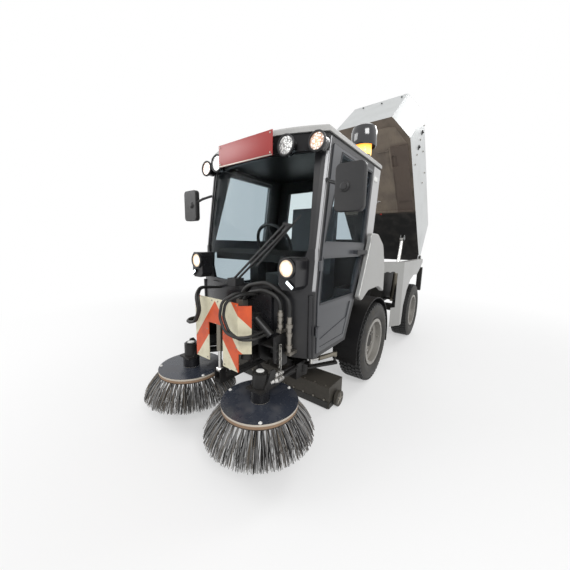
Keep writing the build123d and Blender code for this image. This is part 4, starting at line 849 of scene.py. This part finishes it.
# %% [markdown]
# ## Lamps' rims
# Each round lamp sits in a black rim. The rim is a turned ring that stands a few millimetres
# proud and slopes in to the glass.

# %% Rims round the lamps
rims = bmesh.new()
for side_name, side in SIDES:
    for (x, y, z), radius in ((HEAD_LAMP, 52.5), (INNER_ROOF_LAMP, 55), (OUTER_ROOF_LAMP, 50)):
        outline = ((radius - 3, 1), (radius - 2, 5), (radius + 4, 7), (radius + 9, 3),
                   (radius + 9, -6), (radius - 3, -6))
        add_turned(rims, outline, along(at(side * x, y, z), (0, -1, 0)), 40, closed=True)
make_piece("lamp_rims", rims, black_plastic, "front_unit")

# %% [markdown]
# ## The doors' seals and locks
# Every pane sits in a black rubber seal, a flat ring that follows the outline of the pane and laps
# a little over the door. An inset makes the ring's even width, and extruding it gives it a depth.
# The handle's flat housing and the round lock below it are on each door, and ride with it.

# %% Seals round the door panes
PANES = (
    # four corners as (y, z)
    ((282, 1858), (820, 1858), (741, 1300), (104, 1300)),
    ((92, 1192), (694, 1192), (576, 906), (70, 906)),
)
DOOR_SKIN_X, HANDLE_X = 556, 590
LAP_Y, LAP_Z = 9, 8


def lapped(pane):
    """The pane's outline made a little larger than its opening."""
    centre_y = sum(y for y, z in pane) / 4
    centre_z = sum(z for y, z in pane) / 4
    return [(y + LAP_Y * (1 if y > centre_y else -1), z + LAP_Z * (1 if z > centre_z else -1))
            for y, z in pane]


for side_name, side in SIDES:
    seals = bmesh.new()
    for pane in PANES:
        corners = [at(side * DOOR_SKIN_X, y, z) for y, z in lapped(pane)]
        add_frame(seals, corners, 0.022, (side * 0.003, 0, 0))
    make_piece(f"door_seals_{side_name}", seals, black_rubber, f"door_{side_name}")
    lock = bmesh.new()
    add_block(lock, at(side * HANDLE_X - 2, 542, 1210), at(side * HANDLE_X + 2, 736, 1242), 0.0)
    add_rod(lock, at(side * DOOR_SKIN_X, 700, 1175), at(side * (DOOR_SKIN_X + 5), 700, 1175), 0.012,
            sides=20)
    make_piece(f"door_lock_{side_name}", lock, black_plastic, f"door_{side_name}")

# %% [markdown]
# ## Mirrors with soft corners
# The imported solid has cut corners. The real housing is moulded, so its outline is rounded first by
# a wide bevel, and its front is then crowned by an inset and a small bevel. A ball joint in a
# turned collar carries it on a bent black tube, and a flat silvered plate is the glass behind it.

# %% Mirrors
MIRROR_X, MIRROR_HALF = 736.5, 85.5
MIRROR_LOW_Z, MIRROR_HIGH_Z = 1460, 1716
COLLAR_OUTLINE = ((0, -4), (30, -4), (27, 5), (19, 9), (17, 14), (0, 15))


def add_housing(mesh, side):
    """The moulded shell of one mirror."""
    low = at(side * MIRROR_X - MIRROR_HALF, 0.5, MIRROR_LOW_Z)
    high = at(side * MIRROR_X + MIRROR_HALF, 42, MIRROR_HIGH_Z)
    matrix = Matrix.Translation((low + high) / 2) @ Matrix.Diagonal((*(high - low), 1.0))
    bmesh.ops.create_cube(mesh, size=1.0, matrix=matrix)
    upright = [line for line in mesh.edges if abs((line.verts[0].co - line.verts[1].co).y) > 0.02]
    bevel(mesh, upright, 0.030, 6)
    front = min(mesh.faces, key=lambda face: face.calc_center_median().y)
    bmesh.ops.inset_region(mesh, faces=[front], thickness=0.006)
    rim = [line for line in mesh.edges if len(line.link_faces) == 2 and line.calc_face_angle() > 1.0]
    bevel(mesh, rim, 0.006)


def add_mirror_arm(mesh, side):
    """The bent tube from the cab's pillar, and the collar on the housing."""
    elbow = at(side * 600, 40, 1640)
    add_rod(mesh, at(side * 549, 96, 1668), elbow, 0.010)
    add_rod(mesh, elbow, at(side * 700, 10, 1600), 0.010)
    bmesh.ops.create_icosphere(mesh, subdivisions=2, radius=0.0115, matrix=Matrix.Translation(elbow))
    add_turned(mesh, COLLAR_OUTLINE, along(at(side * 712, 1, 1592), (0, -1, 0)), 24)


for side_name, side in SIDES:
    housing = bmesh.new()
    add_housing(housing, side)
    add_mirror_arm(housing, side)
    make_piece(f"mirror_housing_{side_name}", housing, black_plastic, "front_unit",
               ["mirrors"] if side > 0 else ())
    glass = bmesh.new()
    add_block(glass, at(side * MIRROR_X - 74, 41.5, 1472), at(side * MIRROR_X + 74, 44, 1704))
    make_piece(f"mirror_glass_{side_name}", glass, mirror_silver, "front_unit")

# %% [markdown]
# ## The sign on the roof
# A flat board with nothing on it stands before the header on three dark standoffs. It is taller
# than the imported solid, which it replaces, and it has a steel strip along its foot and a screw in
# each corner. The strip and the screws are worn steel, so they are one piece and the board another.

# %% The sign, its edge and its standoffs
SIGN_HALF, SIGN_FOOT, SIGN_TOP = 252, 1814, 1962
SIGN_FRONT, SIGN_BACK = -66, -58
sign = bmesh.new()
add_block(sign, at(-SIGN_HALF, SIGN_FRONT, SIGN_FOOT), at(SIGN_HALF, SIGN_BACK, SIGN_TOP), 0.002)
make_piece("sign_panel", sign, sign_red, "front_unit", ["roof_sign"])
sign_trim = bmesh.new()
add_block(sign_trim, at(-SIGN_HALF, -67.5, SIGN_FOOT), at(SIGN_HALF, -65.5, SIGN_FOOT + 8), 0.0005)
for x in (-236, 236):
    for z in (1832, 1946):
        add_rod(sign_trim, at(x, SIGN_FRONT, z), at(x, SIGN_FRONT - 3, z), 0.006, 0.005, 12)
make_piece("sign_edge", sign_trim, worn_steel, "front_unit")
standoffs = bmesh.new()
for x in (-220, 0, 220):
    add_block(standoffs, at(x - 12, SIGN_BACK - 1, 1870), at(x + 12, -20, 1900), 0.002)
make_piece("sign_standoffs", standoffs, satin_black, "front_unit")

# %% [markdown]
# ## The beacon's bell
# The amber lens stands in a black foot under a deep bell of glossy black plastic. Both black parts
# are turned, so two outlines spun about the beacon's axis make them.

# %% The bell and the foot
BEACON_X, BEACON_Y = 455, 860
BELL_OUTLINE = (
    (0, 2250), (66, 2243), (92, 2224), (102, 2190), (103, 2084), (99, 2078), (95, 2082),
    (95, 2112), (0, 2112),
)
FOOT_OUTLINE = ((0, 1979.5), (66, 1979.5), (66, 1990), (62, 1994), (62, 2016), (0, 2016))
bell = bmesh.new()
for outline in (BELL_OUTLINE, FOOT_OUTLINE):
    add_turned(bell, outline, Matrix.Translation(at(BEACON_X, BEACON_Y, 0)), 48)
make_piece("beacon_bell", bell, beacon_black, "front_unit", ["beacon_cap"])

# %% [markdown]
# ## Marker lamps and rivets
# A small pale lamp sits high on each rear corner of the cab, and rivets with low heads fix the
# warning board. Such small things are joined in one piece for each finish.

# %% Marker lamps and rivets
RIVETS = ((200, 905), (200, 640), (200, 498), (88, 498), (30, 905), (88, 700))
BOARD_FACE_Y = -321
markers = bmesh.new()
rivets = bmesh.new()
for side_name, side in SIDES:
    add_block(markers, at(side * 553 - 4, 896, 1812), at(side * 553 + 4, 968, 1848), 0.003)
    for x, z in RIVETS:
        add_rod(rivets, at(side * x, BOARD_FACE_Y, z), at(side * x, BOARD_FACE_Y - 4, z), 0.0055, 0.004, 12)
make_piece("marker_lamps", markers, clear_white, "front_unit")
make_piece("board_rivets", rivets, worn_steel, "front_unit")

# %% [markdown]
# ## Small fittings of the hopper
# Black clips and worn bolts stand on the hopper's sides, and three buttons on the edge that faces
# forward. Underneath there are a bright hose fitting and a small red lamp. The hopper is tipped as
# it stands in the scene, so these places are measured on the tipped hopper, and two directions say
# which way its front and its underside then face.

# %% Clips and bolts
HOPPER_SIDE_X = 524
CLIPS = ((2620, 2748), (2503, 2533))
BOLTS = ((2700, 2860), (2560, 2640), (2450, 2430), (2780, 2560), (3011, 2335), (2920, 2180), (2400, 2300))
BUTTONS = ((58, 2366, 3118), (-204, 2400, 3146), (300, 2385, 3133))
FRONT_FACES = Vector((0, -0.64, 0.77))
UNDERSIDE_FACES = Vector((0, -0.77, -0.64))
clips = bmesh.new()
hopper_bolts = bmesh.new()
clip_turn = Matrix.Rotation(math.radians(-40), 4, "X")
for side_name, side in SIDES:
    for y, z in CLIPS:
        place = at(side * HOPPER_SIDE_X, y, z)
        add_block(clips, place - Vector((0.006, 0.014, 0.034)), place + Vector((0.012, 0.014, 0.034)),
                  0.003, clip_turn)
        add_rod(clips, place, place + Vector((side * 0.022, 0, 0)), 0.012, sides=16)
    for y, z in BOLTS:
        place = at(side * HOPPER_SIDE_X, y, z)
        add_rod(hopper_bolts, place, place + Vector((side * 0.004, 0, 0)), 0.011, sides=20)
        add_rod(hopper_bolts, place, place + Vector((side * 0.010, 0, 0)), 0.007, sides=6)
for x, y, z in BUTTONS:
    place = at(x, y, z)
    add_rod(clips, place - FRONT_FACES * 0.004, place + FRONT_FACES * 0.010, 0.010, sides=12)
make_piece("hopper_clips", clips, black_plastic, "hopper")
make_piece("hopper_bolts", hopper_bolts, worn_steel, "hopper")

# %% The hose fitting and the red lamp
fitting = bmesh.new()
place = at(34, 2549, 1916)
out = UNDERSIDE_FACES
add_rod(fitting, place - out * 0.003, place + out * 0.02, 0.024, 0.018, 6)
add_rod(fitting, place, place + out * 0.045, 0.012, sides=14)
add_rod(fitting, place + out * 0.035, place + out * 0.035 + Vector((0.05, 0, 0.01)), 0.009, sides=12)
make_piece("hopper_fitting", fitting, bare_steel, "hopper")
red_lamp = bmesh.new()
LAMP_OUTLINE = ((0, -3), (13, -3), (13, 8), (9, 14), (0, 16))
add_turned(red_lamp, LAMP_OUTLINE, along(at(50, 2698, 1748), out), 24)
make_piece("hopper_lamp", red_lamp, signal_red, "hopper")

# %% [markdown]
# ## The suction mouth's skirt and bolts
# The mouth runs close to the road behind the brushes. A rubber skirt hangs before it and at its
# ends to keep the air in, bolts hold it in a row, and the small wheel at each end has five spokes.

# %% The skirt
MOUTH_FRONT_Y, SKIRT_FOOT = 330, 14
skirt = bmesh.new()
add_block(skirt, at(-512, MOUTH_FRONT_Y - 4, SKIRT_FOOT), at(512, MOUTH_FRONT_Y, 70))
for side_name, side in SIDES:
    add_block(skirt, at(side * 522 - 2, 334, SKIRT_FOOT), at(side * 522 + 2, 556, 60))
make_piece("suction_skirt", skirt, black_rubber, "front_unit")

# %% The bolts and the wheels' spokes
SMALL_WHEEL_Y, SMALL_WHEEL_Z = 445, 65
SPOKES = 5
mouth_bolts = bmesh.new()
for x in range(-480, 481, 96):
    add_rod(mouth_bolts, at(x, MOUTH_FRONT_Y, 82), at(x, MOUTH_FRONT_Y - 8, 82), 0.008, 0.008, 6)
    add_rod(mouth_bolts, at(x, 345, 190), at(x, 345, 196), 0.007, 0.007, 6)
for side_name, side in SIDES:
    hub = at(side * 560, SMALL_WHEEL_Y, SMALL_WHEEL_Z)
    for step in range(SPOKES):
        angle = 2 * math.pi * step / SPOKES
        tip = hub + Vector((0, 0.045 * math.cos(angle), 0.045 * math.sin(angle)))
        add_rod(mouth_bolts, hub, tip, 0.0045, 0.0035, 8)
    add_rod(mouth_bolts, at(side * 558, SMALL_WHEEL_Y, SMALL_WHEEL_Z),
            at(side * 566, SMALL_WHEEL_Y, SMALL_WHEEL_Z), 0.014, 0.010, 12)
make_piece("suction_bolts", mouth_bolts, worn_steel, "front_unit")

# %% [markdown]
# ## Tail lamps
# Three round red lamps stand one above the other at each rear corner. Each lens is a low dome, so
# a short outline is spun for it.

# %% Lenses
TAIL_X, TAIL_FACE_Y = 576.5, 3208
LENS_OUTLINE = ((0, 0), (18.5, 0), (18.5, 2), (15, 4), (0, 5))
lenses = bmesh.new()
for side_name, side in SIDES:
    for z in (680, 770, 860):
        add_turned(lenses, LENS_OUTLINE, along(at(side * TAIL_X, TAIL_FACE_Y, z), (0, 1, 0)), 28)
make_piece("tail_lenses", lenses, signal_red, "rear_unit")

# %% [markdown]
# ## The studio
# The floor is plain and pale, and the light is soft and even, so that a colour renders about as it
# was written. Rays from the camera see white where the floor and walls are, and so do rays that
# mirror off paint or pass through glass.


# %% Floor
def seen_directly(tree):
    """1 for rays from the camera or its mirror images, 0 for the light that falls on things."""
    path = tree.nodes.new("ShaderNodeLightPath")
    total = path.outputs["Is Camera Ray"]
    for other in ("Is Glossy Ray", "Is Transmission Ray"):
        add = tree.nodes.new("ShaderNodeMath")
        add.operation = "MAXIMUM"
        tree.links.new(total, add.inputs[0])
        tree.links.new(path.outputs[other], add.inputs[1])
        total = add.outputs[0]
    return total


FLOOR_HALF = 30.0
scene = bpy.context.scene
floor_mesh = bmesh.new()
bmesh.ops.create_grid(floor_mesh, x_segments=1, y_segments=1, size=FLOOR_HALF)
floor_data = bpy.data.meshes.new("floor")
floor_mesh.to_mesh(floor_data)
floor = bpy.data.objects.new("floor", floor_data)
scene.collection.objects.link(floor)
floor_finish = Finish("studio_floor", (0.80, 0.80, 0.80), 0.7)
floor_tree = floor_finish.tree
white = floor_tree.nodes.new("ShaderNodeEmission")
blend = floor_tree.nodes.new("ShaderNodeMixShader")
across = floor_finish.axis("X")
ahead = floor_finish.axis("Y")
far = (across * across + ahead * ahead).maths("SQRT").rises(2.2, 5.5)
share = Value(floor_finish, seen_directly(floor_tree)) * (far * 0.55 + 0.45)
floor_tree.links.new(share.socket, blend.inputs[0])
floor_tree.links.new(floor_finish.shader.outputs[0], blend.inputs[1])
floor_tree.links.new(white.outputs[0], blend.inputs[2])
floor_tree.links.new(blend.outputs[0], floor_tree.nodes["Material Output"].inputs["Surface"])
floor_data.materials.append(floor_finish.material)
print("the floor is", 2 * FLOOR_HALF, "metres square")

# %% World light
WORLD_LIGHT, SEEN_WHITE = 0.55, 1.0
world = bpy.data.worlds.new("studio")
scene.world = world
world.use_nodes = True
tree = world.node_tree
background = tree.nodes["Background"]
mix = tree.nodes.new("ShaderNodeMix")
mix.data_type = "FLOAT"
tree.links.new(seen_directly(tree), mix.inputs[0])
mix.inputs[2].default_value = WORLD_LIGHT
mix.inputs[3].default_value = SEEN_WHITE
tree.links.new(mix.outputs[0], background.inputs["Strength"])
background.inputs["Color"].default_value = (1.0, 1.0, 1.0, 1.0)
print("the world lights the machine at", WORLD_LIGHT)


# %% Soft boxes
def soft_box(name, place, target, width, power):
    """A flat rectangular lamp that points at a target."""
    data = bpy.data.lights.new(name, "AREA")
    data.shape = "RECTANGLE"
    data.size = width
    data.size_y = width * 0.6
    data.energy = power
    lamp = bpy.data.objects.new(name, data)
    lamp.location = place
    lamp.rotation_euler = (Vector(target) - Vector(place)).to_track_quat("-Z", "Y").to_euler()
    scene.collection.objects.link(lamp)


soft_box("key", (4.5, -4.5, 5.0), (0, -0.5, 1.0), 3.5, 260)
soft_box("fill", (-4.0, -4.0, 3.5), (0, -0.5, 1.0), 3.5, 110)
soft_box("back", (1.0, 5.0, 5.5), (0, 0.5, 1.5), 3.5, 160)

# %% [markdown]
# ## The camera
# It stands close to the machine's front left, a little above the brushes' motors, and looks
# slightly down with a wide lens. A turn about the upright, a pitch and a small roll about the way
# it looks are multiplied in that order.

# %% Camera
YAW, PITCH, ROLL = math.radians(37.2), math.radians(-9.0), math.radians(1.2)
camera_data = bpy.data.cameras.new("camera")
camera_data.lens = 16.466
camera_data.sensor_width = 36.0
camera = bpy.data.objects.new("camera", camera_data)
place = Matrix.Translation((1.3561, DRAWING_START - 1.3612, 1.2796))
camera.matrix_world = (place @ Matrix.Rotation(YAW, 4, "Z")
                       @ Matrix.Rotation(math.pi / 2 + PITCH, 4, "X") @ Matrix.Rotation(ROLL, 4, "Z"))
scene.collection.objects.link(camera)
scene.camera = camera
scene.view_settings.view_transform = "Standard"
print("the camera stands", round(camera.matrix_world.translation.z, 3), "metres up")
